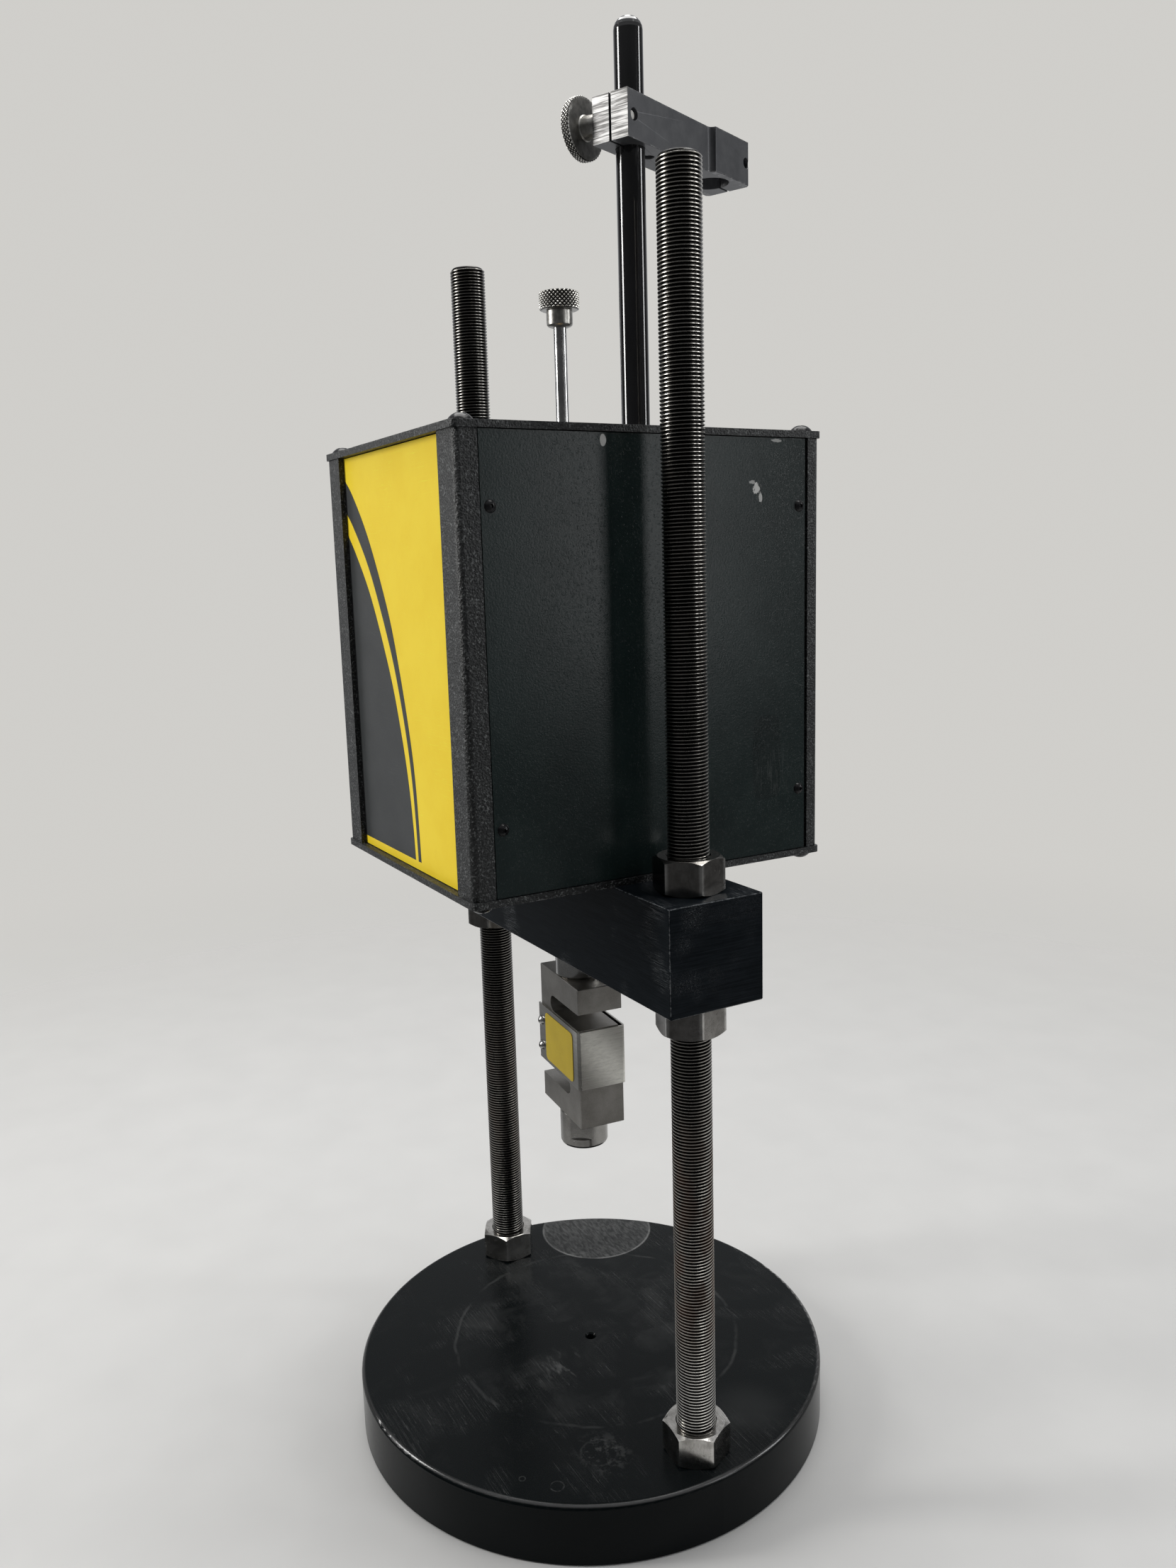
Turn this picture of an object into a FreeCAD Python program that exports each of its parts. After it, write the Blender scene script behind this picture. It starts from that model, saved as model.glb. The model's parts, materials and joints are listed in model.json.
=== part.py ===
import FreeCAD, Part
import math
import os

os.makedirs("parts", exist_ok=True)

V = FreeCAD.Vector
INCH = 25.4

# ---------------------------------------------------------------- driving dimensions (mm)
# base and columns
base_r = 5.0 * INCH
base_t = 1.25 * INCH
base_edge_r = 2.4
base_tap_r = 2.55
base_tap_depth = 20.0
column_x = 4.125 * INCH
column_d = 0.75 * INCH
column_foot_z = 2.0
column_top_z = 621.3
column_chamfer = 1.5
thread_gap = 0.05

# hexagon nuts on the columns
nut_af = 1.125 * INCH
nut_h = 16.3
nut_phase = {
    "base_nut_right": 55.5,
    "base_nut_left": 30.0,
    "upper_nut_right": 46.7,
    "upper_nut_left": 12.0,
    "lower_nut_right": 44.3,
    "lower_nut_left": 22.0,
}

# crosshead bar and the ram bushing in it
cross_l = 10.0 * INCH - 1.0
cross_w = 50.0
cross_z0 = 264.0
cross_z1 = 314.0
cross_edge = 0.6
cross_hole_r = 9.9
bush_r = 15.875
bush_z0 = 263.4
bush_z1 = 292.0

# actuator case
plate_w = 163.0
plate_d = 190.0
plate_t = 3.175
plate_corner_r = 2.6
bottom_z0 = cross_z1
bottom_z1 = bottom_z0 + plate_t
post_h = 197.65
top_z0 = bottom_z1 + post_h
top_z1 = top_z0 + plate_t
overhang = 0.8
case_x = plate_w / 2 - overhang
case_y = plate_d / 2 - overhang
post_w = 17.4
post_d = 21.0
post_corner_r = 3.0
side_t = 2.0
side_front_y = -83.3
side_rear_y = 85.5
side_rabbet_front = -83.7
side_rabbet_rear = 87.2
front_recess = 3.2
front_t = 2.0
front_groove = 4.0
label_t = 0.4
case_screw_r = 0.125 * INCH
plate_screw_x = 74.4
plate_screw_y = 88.0
side_screw_y = (-79.1, 82.0)
side_screw_z = (347.6, 483.6)

# ram, load cell and coupling, on the Z axis
ram_r = 0.5 * INCH
ram_z0 = 245.5
ram_z1 = 462.0
cell_w = 2.0 * INCH
cell_t = 24.8
cell_z0 = 169.4
cell_z1 = 245.5
cell_slot_h = 8.6
cell_arm_h = 13.5
cell_slot_end = 12.1
cell_yaw = -5.65
cover_t = 0.9
cover_z0 = 191.4
cover_z1 = 222.8
cover_x0 = -27.0
cover_x1 = 26.6
cover_screw_x = -23.7
cover_screw_z = (198.9, 213.4)
coupling_r = 0.5 * INCH
coupling_z0 = 150.6
coupling_flat = 11.3
coupling_flat_z = 155.9
coupling_flat_angle = -37.4
coupling_tap_r = 5.75
stud_r = 6.3

# indicator rod and knob above the case
rod_r = 0.125 * INCH
knob_z0 = 572.4
knob_head_z = 580.5
knob_z1 = 588.8
knob_hub_r = 0.25 * INCH
knob_head_r = 9.8

# transducer post and clamp arm
post_x = 65.0
post_y = 1.8
post_r = 0.25 * INCH
post_top_z = 687.0
arm_angle = 113.1
arm_w = 18.4
arm_head_w = 23.8
arm_z0 = 634.6
arm_z1 = 653.8
arm_back = 14.45
arm_notch = 48.2
arm_step = 51.3
arm_reach = 82.0
arm_corner = 1.6
arm_bore_at = 65.0
arm_bore_r = 9.0
arm_slit = 1.1
arm_relief_at = 14.0
arm_relief_r = 2.5
arm_clamp_at = -9.7
arm_set_at = 78.4
arm_tap_r = 2.4
disc_r = 13.1
disc_in = 16.3
disc_out = 20.3

# drive inside the case
gear_module = 1.5
gear_teeth = 72
pinion_teeth = 18
gear_z0 = 353.0
gear_z1 = 365.0
pinion_angle = 228.0
centre_gap = 0.12
housing_foot_r = 46.0
housing_boss_r = 38.0
tray_r = 60.0
tray_z0 = 346.0
tray_z1 = 367.0
cover_plate_t = 4.0
bearing_r = 31.0
bearing_bore = 17.55
bearing_h = 13.6
nut_sleeve_r = 17.5
motor_w = 42.3
motor_h = 62.0
guide_x = 33.0
guide_y = 40.0
guide_r = 5.0
carrier_z0 = 450.0
carrier_z1 = 460.0


# ---------------------------------------------------------------- helpers
def box(x0, x1, y0, y1, z0, z1):
    return Part.makeBox(x1 - x0, y1 - y0, z1 - z0, V(x0, y0, z0))


def cyl(r, z0, z1, x=0.0, y=0.0):
    return Part.makeCylinder(r, z1 - z0, V(x, y, z0), V(0, 0, 1))


def rod(r, start, direction, length):
    return Part.makeCylinder(r, length, V(*start), V(*direction))


def fuse(shapes):
    out = shapes[0]
    for s in shapes[1:]:
        out = out.fuse(s)
    return out.removeSplitter()


def cut(body, tools):
    for t in tools:
        body = body.cut(t)
    return body


def turn(shape, degrees, centre=(0, 0, 0), axis=(0, 0, 1)):
    s = shape.copy()
    s.rotate(V(*centre), V(*axis), degrees)
    return s


def move(shape, x, y, z):
    s = shape.copy()
    s.translate(V(x, y, z))
    return s


def save(name, shape):
    shape.exportStep("parts/" + name + ".step")


def prism(points, z0, z1):
    wire = Part.makePolygon([V(x, y, z0) for x, y in points] + [V(points[0][0], points[0][1], z0)])
    return Part.Face(wire).extrude(V(0, 0, z1 - z0))


def hexagon(af, z0, z1, phase=0.0, x=0.0, y=0.0):
    r = af / 2 / math.cos(math.pi / 6)
    pts = []
    for k in range(6):
        a = math.radians(phase + 60 * k)
        pts.append((x + r * math.cos(a), y + r * math.sin(a)))
    return prism(pts, z0, z1)


def revolve(profile):
    # profile is a closed list of (radius, height) pairs turned about Z
    pts = [V(r, 0, z) for r, z in profile]
    face = Part.Face(Part.makePolygon(pts + [pts[0]]))
    return face.revolve(V(0, 0, 0), V(0, 0, 1), 360)


def vertical_edges(shape):
    found = []
    for e in shape.Edges:
        if len(e.Vertexes) == 2:
            d = e.Vertexes[1].Point.sub(e.Vertexes[0].Point)
            if abs(d.x) < 1e-6 and abs(d.y) < 1e-6 and abs(d.z) > 1:
                found.append(e)
    return found


def hex_nut(z0, phase, x, bore_r):
    # chamfered on both faces at 30 degrees
    corner = nut_af / 2 / math.cos(math.pi / 6)
    face_r = nut_af / 2 * 0.985
    drop = (corner - face_r) * math.tan(math.radians(30))
    blank = hexagon(nut_af, z0, z0 + nut_h, phase)
    turned = revolve([
        (0, z0), (face_r, z0), (corner, z0 + drop),
        (corner, z0 + nut_h - drop), (face_r, z0 + nut_h), (0, z0 + nut_h),
    ])
    hole = revolve([
        (0, z0 - 1), (bore_r + 1.5, z0 - 1), (bore_r + 0.5, z0), (bore_r, z0 + 1.0),
        (bore_r, z0 + nut_h - 1.0), (bore_r + 0.5, z0 + nut_h), (bore_r + 1.5, z0 + nut_h + 1),
        (0, z0 + nut_h + 1),
    ])
    return move(blank.common(turned).cut(hole), x, 0, 0)


def button_screw(head_d, head_h, shank_d, length, socket_af, socket_depth):
    # seat at z = 0, dome towards +Z, shank towards -Z
    sphere_r = (head_h ** 2 + (head_d / 2) ** 2) / (2 * head_h)
    ball = Part.makeSphere(sphere_r, V(0, 0, head_h - sphere_r))
    head = ball.common(cyl(head_d / 2, 0, head_h))
    shank = cyl(shank_d / 2, -length, 0.2)
    socket = hexagon(socket_af, head_h - socket_depth, head_h + 1, 15)
    return head.fuse(shank).removeSplitter().cut(socket)


def cap_screw(head_d, head_h, shank_d, length, socket_af):
    head = cyl(head_d / 2, 0, head_h)
    shank = cyl(shank_d / 2, -length, 0.2)
    socket = hexagon(socket_af, head_h * 0.5, head_h + 1)
    return head.fuse(shank).removeSplitter().cut(socket)


def to_plus_x(shape):
    return turn(shape, 90, (0, 0, 0), (0, 1, 0))


def to_minus_x(shape):
    return turn(shape, -90, (0, 0, 0), (0, 1, 0))


def to_minus_y(shape):
    return turn(shape, 90, (0, 0, 0), (1, 0, 0))


def to_plus_y(shape):
    return turn(shape, -90, (0, 0, 0), (1, 0, 0))


def involute_gear(teeth, module, z0, z1, phase, backlash):
    # external spur gear, 20 degree pressure angle, one tooth centred on the phase direction
    pressure = math.radians(20)
    pitch_r = module * teeth / 2
    base = pitch_r * math.cos(pressure)
    tip = pitch_r + 0.9 * module
    root = pitch_r - 1.2 * module
    inv = math.tan(pressure) - pressure
    half = math.pi / (2 * teeth) - backlash / (2 * pitch_r)
    steps = 5
    flank = []
    start = max(base, root)
    for k in range(steps + 1):
        r = start + (tip - start) * k / steps
        a = math.acos(min(1.0, base / r))
        flank.append((r, half + inv - (math.tan(a) - a)))
    pts = []
    for t in range(teeth):
        mid = math.radians(phase) + 2 * math.pi * t / teeth
        side = flank
        if start > root + 0.01:
            side = [(root, flank[0][1])] + flank
        for r, off in side:
            pts.append((r * math.cos(mid - off), r * math.sin(mid - off)))
        for r, off in reversed(side):
            pts.append((r * math.cos(mid + off), r * math.sin(mid + off)))
    return prism(pts, z0, z1)


# ---------------------------------------------------------------- base and columns
base = cyl(base_r, 0, base_t)
rims = [e for e in base.Edges if e.Curve.TypeId == "Part::GeomCircle"]
upper = [e for e in rims if e.Vertexes[0].Z > 1]
lower = [e for e in rims if e.Vertexes[0].Z < 1]
base = base.makeFillet(base_edge_r, upper)
lower = [e for e in base.Edges if e.BoundBox.ZMax < 0.1 and e.Length > 100]
base = base.makeChamfer(0.8, lower)
base = cut(base, [
    cyl(base_tap_r, base_t - base_tap_depth, base_t + 1),
    revolve([(0, base_t + 0.01), (0, base_t - 0.8), (base_tap_r, base_t - 0.8), (3.2, base_t + 0.01)]),
    cyl(column_d / 2 + thread_gap, column_foot_z - 0.6, base_t + 1, column_x),
    cyl(column_d / 2 + thread_gap, column_foot_z - 0.6, base_t + 1, -column_x),
])
save("base_plate", base)

r = column_d / 2
column = revolve([
    (0, column_foot_z), (r - 1.0, column_foot_z), (r, column_foot_z + 1.0),
    (r, column_top_z - column_chamfer), (r - column_chamfer, column_top_z), (0, column_top_z),
])
save("column_right", move(column, column_x, 0, 0))
save("column_left", move(column, -column_x, 0, 0))

# ---------------------------------------------------------------- nuts
nut_bore = column_d / 2 + thread_gap
for side, x in (("right", column_x), ("left", -column_x)):
    levels = (("base", base_t), ("upper", cross_z1), ("lower", cross_z0 - nut_h))
    for level, z in levels:
        name = level + "_nut_" + side
        save(name, hex_nut(z, nut_phase[name], x, nut_bore))

# ---------------------------------------------------------------- crosshead and bushing
bar = box(-cross_l / 2, cross_l / 2, -cross_w / 2, cross_w / 2, cross_z0, cross_z1)
bar = bar.makeChamfer(cross_edge, bar.Edges)
mount_at = [(62.0, 14.0), (62.0, -14.0), (-62.0, 14.0), (-62.0, -14.0)]
bar = cut(bar, [
    cyl(cross_hole_r, cross_z0 - 1, cross_z1 + 1, column_x),
    cyl(cross_hole_r, cross_z0 - 1, cross_z1 + 1, -column_x),
    cyl(bush_r + 0.03, cross_z0 - 1, bush_z1, 0, 0),
    cyl(ram_r + 1.0, cross_z0 - 1, cross_z1 + 1, 0, 0),
])
bar = cut(bar, [cyl(2.55, cross_z1 - 20, cross_z1 + 1, x, y) for x, y in mount_at])
save("crosshead", bar)

bush = revolve([
    (ram_r + 0.05, bush_z0), (bush_r, bush_z0), (bush_r, bush_z1 - 0.6),
    (bush_r - 0.6, bush_z1), (ram_r + 0.55, bush_z1), (ram_r + 0.05, bush_z1 - 0.5),
])
save("ram_bushing", bush)

screws = [move(cap_screw(8.5, 5.0, 5.0, 18.0, 4.0), x, y, bottom_z1) for x, y in mount_at]
save("case_mount_screws", Part.makeCompound(screws))

# ---------------------------------------------------------------- case plates
corners = [(sx * plate_screw_x, sy * plate_screw_y) for sx in (-1, 1) for sy in (-1, 1)]


def case_plate(z0, z1):
    p = box(-plate_w / 2, plate_w / 2, -plate_d / 2, plate_d / 2, z0, z1)
    p = p.makeFillet(plate_corner_r, vertical_edges(p))
    return cut(p, [cyl(case_screw_r + 0.15, z0 - 1, z1 + 1, x, y) for x, y in corners])


foot_at = [(42.0, 0.0), (-42.0, 0.0), (0.0, 42.0), (0.0, -42.0)]
plate = case_plate(bottom_z0, bottom_z1)
plate = plate.cut(cyl(ram_r + 1.0, bottom_z0 - 1, bottom_z1 + 1))
plate = cut(plate, [cyl(2.7, bottom_z0 - 1, bottom_z1 + 1, x, y) for x, y in mount_at])
plate = cut(plate, [cyl(1.7, bottom_z0 + 0.8, bottom_z1 + 1, x, y) for x, y in foot_at])
save("bottom_plate", plate)

plate = case_plate(top_z0, top_z1)
plate = plate.cut(cyl(6.05, top_z0 - 1, top_z1 + 1))
plate = plate.cut(cyl(4.8, top_z0 - 1, top_z1 + 1, post_x, post_y))
plate = plate.cut(cyl(3.05, top_z0 - 1, top_z0 + 1.6, guide_x, guide_y))
save("top_plate", plate)

screw = button_screw(11.1, 3.35, 2 * case_screw_r - 0.1, 14.0, 3.97, 1.9)
save("top_plate_screws", Part.makeCompound([move(screw, x, y, top_z1) for x, y in corners]))
flipped = turn(screw, 180, (0, 0, 0), (1, 0, 0))
save("bottom_plate_screws", Part.makeCompound([move(flipped, x, y, bottom_z0) for x, y in corners]))


# ---------------------------------------------------------------- corner posts
def corner_post(sx, sy):
    # drawn for the right-hand side, then mirrored
    z0 = bottom_z1
    z1 = top_z0
    if sy < 0:
        y_out, y_in, y_rabbet = -case_y, -case_y + post_d, side_rabbet_front
    else:
        y_out, y_in, y_rabbet = case_y, case_y - post_d, side_rabbet_rear
    x_out = case_x
    x_in = case_x - post_w
    p = box(x_in, x_out, min(y_out, y_in), max(y_out, y_in), z0, z1)
    outer = []
    for e in vertical_edges(p):
        q = e.Vertexes[0].Point
        if abs(q.x - x_out) < 1e-6 and abs(q.y - y_out) < 1e-6:
            outer.append(e)
    p = p.makeFillet(post_corner_r, outer)
    if sy < 0:
        rabbet = box(x_out - side_t - 0.1, x_out + 1, y_rabbet, y_in + 1, z0 - 1, z1 + 1)
        g0 = y_out + front_recess - label_t - 0.05
        g1 = y_out + front_recess + front_t + 0.15
    else:
        rabbet = box(x_out - side_t - 0.1, x_out + 1, y_in - 1, y_rabbet, z0 - 1, z1 + 1)
        g0 = y_out - front_recess - front_t - 0.15
        g1 = y_out - front_recess + 0.15
    groove = box(x_in - 1, x_in + front_groove, g0, g1, z0 - 1, z1 + 1)
    holes = [
        cyl(case_screw_r, z0 - 1, z0 + 14, plate_screw_x, sy * plate_screw_y),
        cyl(case_screw_r, z1 - 14, z1 + 1, plate_screw_x, sy * plate_screw_y),
    ]
    y_scr = side_screw_y[0] if sy < 0 else side_screw_y[1]
    for z in side_screw_z:
        holes.append(rod(1.45, (x_out - 12, y_scr, z), (1, 0, 0), 14))
    p = cut(p, [rabbet, groove] + holes)
    if sx < 0:
        p = p.mirror(V(0, 0, 0), V(1, 0, 0))
    return p


for sx, xn in ((1, "right"), (-1, "left")):
    for sy, yn in ((-1, "front"), (1, "rear")):
        save("corner_post_" + yn + "_" + xn, corner_post(sx, sy))

# ---------------------------------------------------------------- panels
pz0 = bottom_z1 + 0.4
pz1 = top_z0 - 0.4
board_pads = [(-11.0, 352.0), (65.0, 352.0), (-11.0, 492.0), (65.0, 492.0)]


def side_panel(sx):
    p = box(case_x - side_t, case_x, side_front_y, side_rear_y, pz0, pz1)
    for y in side_screw_y:
        for z in side_screw_z:
            p = p.cut(rod(1.55, (case_x - side_t - 1, y, z), (1, 0, 0), side_t + 2))
    if sx < 0:
        p = p.mirror(V(0, 0, 0), V(1, 0, 0))
    return p


save("side_panel_right", side_panel(1))
save("side_panel_left", side_panel(-1))

small = button_screw(5.6, 1.75, 2.8, 8.0, 1.6, 0.9)
group = []
for y in side_screw_y:
    for z in side_screw_z:
        group.append(move(to_plus_x(small), case_x, y, z))
        group.append(move(to_minus_x(small), -case_x, y, z))
save("side_panel_screws", Part.makeCompound(group))

panel_x = case_x - post_w + front_groove - 0.3
front_y0 = -case_y + front_recess
save("front_panel", box(-panel_x, panel_x, front_y0, front_y0 + front_t, pz0, pz1))
save("front_label", box(-panel_x, panel_x, front_y0 - label_t, front_y0, pz0, pz1))

rear_y1 = case_y - front_recess
rear_y0 = rear_y1 - front_t
rear = box(-panel_x, panel_x, rear_y0, rear_y1, pz0, pz1)
inlet_at = (-46.0, 350.0)
data_at = (-4.0, 350.0)
sensor_at = [(32.0, 350.0), (52.0, 350.0)]
rear = rear.cut(rod(6.05, (inlet_at[0], rear_y0 - 1, inlet_at[1]), (0, 1, 0), 5))
rear = rear.cut(box(data_at[0] - 9.6, data_at[0] + 9.6, rear_y0 - 1, rear_y1 + 1, 345.0, 355.0))
for x, z in sensor_at:
    rear = rear.cut(rod(6.05, (x, rear_y0 - 1, z), (0, 1, 0), 5))
for dx in (-12.5, 12.5):
    rear = rear.cut(rod(1.6, (data_at[0] + dx, rear_y0 - 1, data_at[1]), (0, 1, 0), 5))
save("rear_panel", rear)


# ---------------------------------------------------------------- rear sockets
def round_socket(flange_r, pins):
    # axis along +Z, seat at z = 0
    body = fuse([cyl(6.0, -12, 0.2), cyl(flange_r, 0, 2.2), cyl(6.0, 0, 3.6)])
    body = body.cut(cyl(4.6, -3.0, 4.6))
    for k in range(pins):
        a = 2 * math.pi * k / pins
        body = body.fuse(cyl(0.55, -3.5, 1.2, 2.5 * math.cos(a), 2.5 * math.sin(a)))
    return body


inlet = fuse([cyl(6.0, -13, 0.2), cyl(8.0, 0, 2.0), cyl(6.4, 0, 4.2)])
inlet = inlet.cut(cyl(4.4, -8, 5))
inlet = inlet.fuse(cyl(1.25, -9, 3.0))
save("power_inlet", move(to_plus_y(inlet).mirror(V(0, 0, 0), V(0, 0, 1)), inlet_at[0], rear_y1, inlet_at[1]))

sockets = []
for x, z in sensor_at:
    sockets.append(move(to_plus_y(round_socket(8.0, 5)), x, rear_y1, z))
save("sensor_sockets", Part.makeCompound(sockets))

port = box(-15.4, 15.4, -6.2, 6.2, 0, 1.0)
port = port.makeFillet(1.6, vertical_edges(port)[:4]) if len(vertical_edges(port)) >= 4 else port
shell = prism([(-8.9, 4.3), (8.9, 4.3), (7.5, -4.3), (-7.5, -4.3)], 0.9, 6.0)
well = prism([(-8.3, 3.7), (8.3, 3.7), (6.9, -3.7), (-6.9, -3.7)], 1.6, 7.0)
back = box(-9.2, 9.2, -4.6, 4.6, -10.0, 0.1)
port = fuse([port, shell, back]).cut(well)
for k in range(5):
    port = port.fuse(cyl(0.5, 1.2, 5.2, -5.54 + 2.77 * k, 1.42))
for k in range(4):
    port = port.fuse(cyl(0.5, 1.2, 5.2, -4.155 + 2.77 * k, -1.42))
for dx in (-12.5, 12.5):
    jack = hexagon(5.0, 0.9, 5.5, 0, dx, 0).cut(cyl(1.3, 1.5, 6.5, dx, 0))
    port = port.fuse(jack).fuse(cyl(1.5, -4.0, 1.0, dx, 0))
save("data_port", move(to_plus_y(port), data_at[0], rear_y1, data_at[1]))

# ---------------------------------------------------------------- gearbox
pitch_gear = gear_module * gear_teeth / 2
pitch_pinion = gear_module * pinion_teeth / 2
centre = pitch_gear + pitch_pinion + centre_gap
px = centre * math.cos(math.radians(pinion_angle))
py = centre * math.sin(math.radians(pinion_angle))
pinion_tip = pitch_pinion + gear_module
tray_pinion_r = pinion_tip + 5.0

foot_z1 = bottom_z1 + 6.0
bore_r = ram_r + 1.0
seat_z = 338.0
housing = fuse([
    cyl(housing_foot_r, bottom_z1, foot_z1),
    cyl(housing_boss_r, bottom_z1, 352.2),
    cyl(tray_r, tray_z0, tray_z1),
    cyl(tray_pinion_r, tray_z0, tray_z1, px, py),
    prism([(px - 15, py + 12), (px + 12, py - 15), (40, -40), (-40, 40)], tray_z0, tray_z1),
])
hollow = fuse([
    cyl(tray_r - 3.5, 352.2, tray_z1 + 1),
    cyl(tray_pinion_r - 3.0, 350.0, tray_z1 + 1, px, py),
])
housing = cut(housing, [
    hollow,
    cyl(bore_r, bottom_z1 - 1, seat_z + 1),
    cyl(bearing_r + 0.03, seat_z, 353.0),
])
housing = cut(housing, [cyl(1.8, bottom_z1 - 1, foot_z1 + 1, x, y) for x, y in foot_at])
lid_screw_r = tray_r - 1.75
ring_at = []
for a in (5.0, 65.0, 125.0, 185.0, 275.0, 335.0):
    ring_at.append((lid_screw_r * math.cos(math.radians(a)), lid_screw_r * math.sin(math.radians(a))))
housing = cut(housing, [cyl(1.05, tray_z1 - 6.0, tray_z1 + 1, x, y) for x, y in ring_at])
save("gearbox_housing", housing)

cover_z = tray_z1 + cover_plate_t
lid_boss_top = 386.0
lid = fuse([
    cyl(tray_r, tray_z1, cover_z),
    cyl(tray_pinion_r, tray_z1, cover_z, px, py),
    prism([(px - 15, py + 12), (px + 12, py - 15), (40, -40), (-40, 40)], tray_z1, cover_z),
    box(px - motor_w / 2, px + motor_w / 2, py - motor_w / 2, py + motor_w / 2, tray_z1, cover_z),
    cyl(36.5, tray_z1, lid_boss_top),
])
lid = cut(lid, [
    cyl(bearing_r + 0.03, tray_z1 - 1, 382.0),
    cyl(bearing_bore + 2.0, 381.0, lid_boss_top + 1),
    cyl(11.05, tray_z1 - 1, cover_z + 1, px, py),
    cyl(3.05, tray_z1 + 1.0, cover_z + 1, guide_x, guide_y),
])
lid = cut(lid, [cyl(1.1, tray_z1 - 1, cover_z + 1, x, y) for x, y in ring_at])
save("gearbox_cover", lid)
lid_screws = [move(cap_screw(3.4, 2.0, 2.0, 9.0, 1.5), x, y, cover_z) for x, y in ring_at]
save("gearbox_cover_screws", Part.makeCompound(lid_screws))
foot_screws = [move(cap_screw(5.5, 3.0, 3.2, 8.0, 2.5), x, y, foot_z1) for x, y in foot_at]
save("gearbox_foot_screws", Part.makeCompound(foot_screws))


def ball_bearing(z0):
    # shielded ring with a shallow groove on both faces
    ring = cyl(bearing_r, z0, z0 + bearing_h).cut(cyl(bearing_bore, z0 - 1, z0 + bearing_h + 1))
    mid = (bearing_r + bearing_bore) / 2
    for z in (z0, z0 + bearing_h):
        groove = cyl(mid + 3.4, z - 0.7, z + 0.7).cut(cyl(mid - 3.4, z - 1, z + 1))
        ring = ring.cut(groove)
    return ring


save("bearing_lower", ball_bearing(seat_z))
save("bearing_upper", ball_bearing(368.2))

# ---------------------------------------------------------------- drive nut, gear, pinion, motor
sleeve = fuse([cyl(nut_sleeve_r, seat_z + 1.0, 381.0), cyl(24.0, 352.0, gear_z0)])
sleeve = sleeve.cut(cyl(ram_r + 0.08, 330.0, 390.0))
save("drive_nut", sleeve)

gear = involute_gear(gear_teeth, gear_module, gear_z0, gear_z1, pinion_angle + 180.0 / gear_teeth, 0.12)
web = cyl(46.0, gear_z1 - 3.0, gear_z1 + 1).cut(cyl(25.0, gear_z1 - 4.0, gear_z1 + 2))
gear = cut(gear, [cyl(nut_sleeve_r + 0.02, gear_z0 - 1, gear_z1 + 1), web])
for k in range(6):
    a = math.radians(60 * k)
    gear = gear.cut(cyl(6.5, gear_z0 - 1, gear_z1 + 1, 35.5 * math.cos(a), 35.5 * math.sin(a)))
save("drive_gear", gear)

pinion = involute_gear(pinion_teeth, gear_module, gear_z0, gear_z1, pinion_angle + 180.0, 0.12)
pinion = pinion.fuse(cyl(8.0, gear_z1 - 0.1, gear_z1 + 3.4)).removeSplitter()
pinion = pinion.cut(cyl(4.02, gear_z0 - 1, gear_z1 + 6))
pinion = pinion.cut(rod(1.0, (0, 0, gear_z1 + 1.8), (1, 0, 0), 12))
save("pinion", move(pinion, px, py, 0))
save("motor_shaft", cyl(4.0, gear_z0 + 0.5, cover_z + 31.0, px, py))

body = box(-motor_w / 2, motor_w / 2, -motor_w / 2, motor_w / 2, 0, motor_h)
body = body.makeFillet(3.5, vertical_edges(body))
inner = box(-motor_w / 2 + 0.9, motor_w / 2 - 0.9, -motor_w / 2 + 0.9, motor_w / 2 - 0.9, 0, motor_h)
inner = inner.makeFillet(3.0, vertical_edges(inner))
body = body.cut(box(-30, 30, -30, 30, 10.0, motor_h - 12.0).cut(inner))
body = body.fuse(cyl(11.0, -2.0, 0.5)).removeSplitter()
body = cut(body, [cyl(4.08, -3, 32.0), cyl(9.0, motor_h - 1.0, motor_h + 1)])
body = body.fuse(box(-8, 8, motor_w / 2 - 1.0, motor_w / 2 + 3.0, motor_h - 10.0, motor_h - 2.0))
save("motor_body", move(body.removeSplitter(), px, py, cover_z))

# ---------------------------------------------------------------- ram, carrier, guide and switches
ram = revolve([
    (0, ram_z0), (ram_r - 1.2, ram_z0), (ram_r, ram_z0 + 1.2), (ram_r, carrier_z0),
    (9.0, carrier_z0), (9.0, ram_z1 - 1), (8.0, ram_z1), (0, ram_z1),
])
ram = cut(ram, [cyl(stud_r + 0.05, ram_z0 - 1, ram_z0 + 16), cyl(rod_r + 0.02, ram_z1 - 14, ram_z1 + 1)])
save("ram_shaft", ram)

reach = math.hypot(guide_x, guide_y)
guide_at = math.degrees(math.atan2(guide_y, guide_x))
yoke = fuse([
    cyl(16.0, carrier_z0, carrier_z1),
    cyl(9.5, carrier_z0, carrier_z1, reach, 0),
    box(0, reach, -7.0, 7.0, carrier_z0, carrier_z1),
])
yoke = turn(yoke, guide_at).fuse(box(25.0, 42.2, 28.0, 36.0, carrier_z0, carrier_z1)).removeSplitter()
yoke = cut(yoke, [
    cyl(9.02, carrier_z0 - 1, carrier_z1 + 1),
    cyl(guide_r + 0.05, carrier_z0 - 1, carrier_z1 + 1, guide_x, guide_y),
    turn(box(-17, 0, -0.6, 0.6, carrier_z0 - 1, carrier_z1 + 1), guide_at),
])
save("guide_carrier", yoke)

guide = fuse([
    cyl(guide_r, cover_z, top_z0),
    cyl(3.0, cover_z - 2.8, cover_z + 0.5),
    cyl(3.0, top_z0 - 0.5, top_z0 + 1.4),
])
save("guide_rod", move(guide, guide_x, guide_y, 0))

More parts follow.
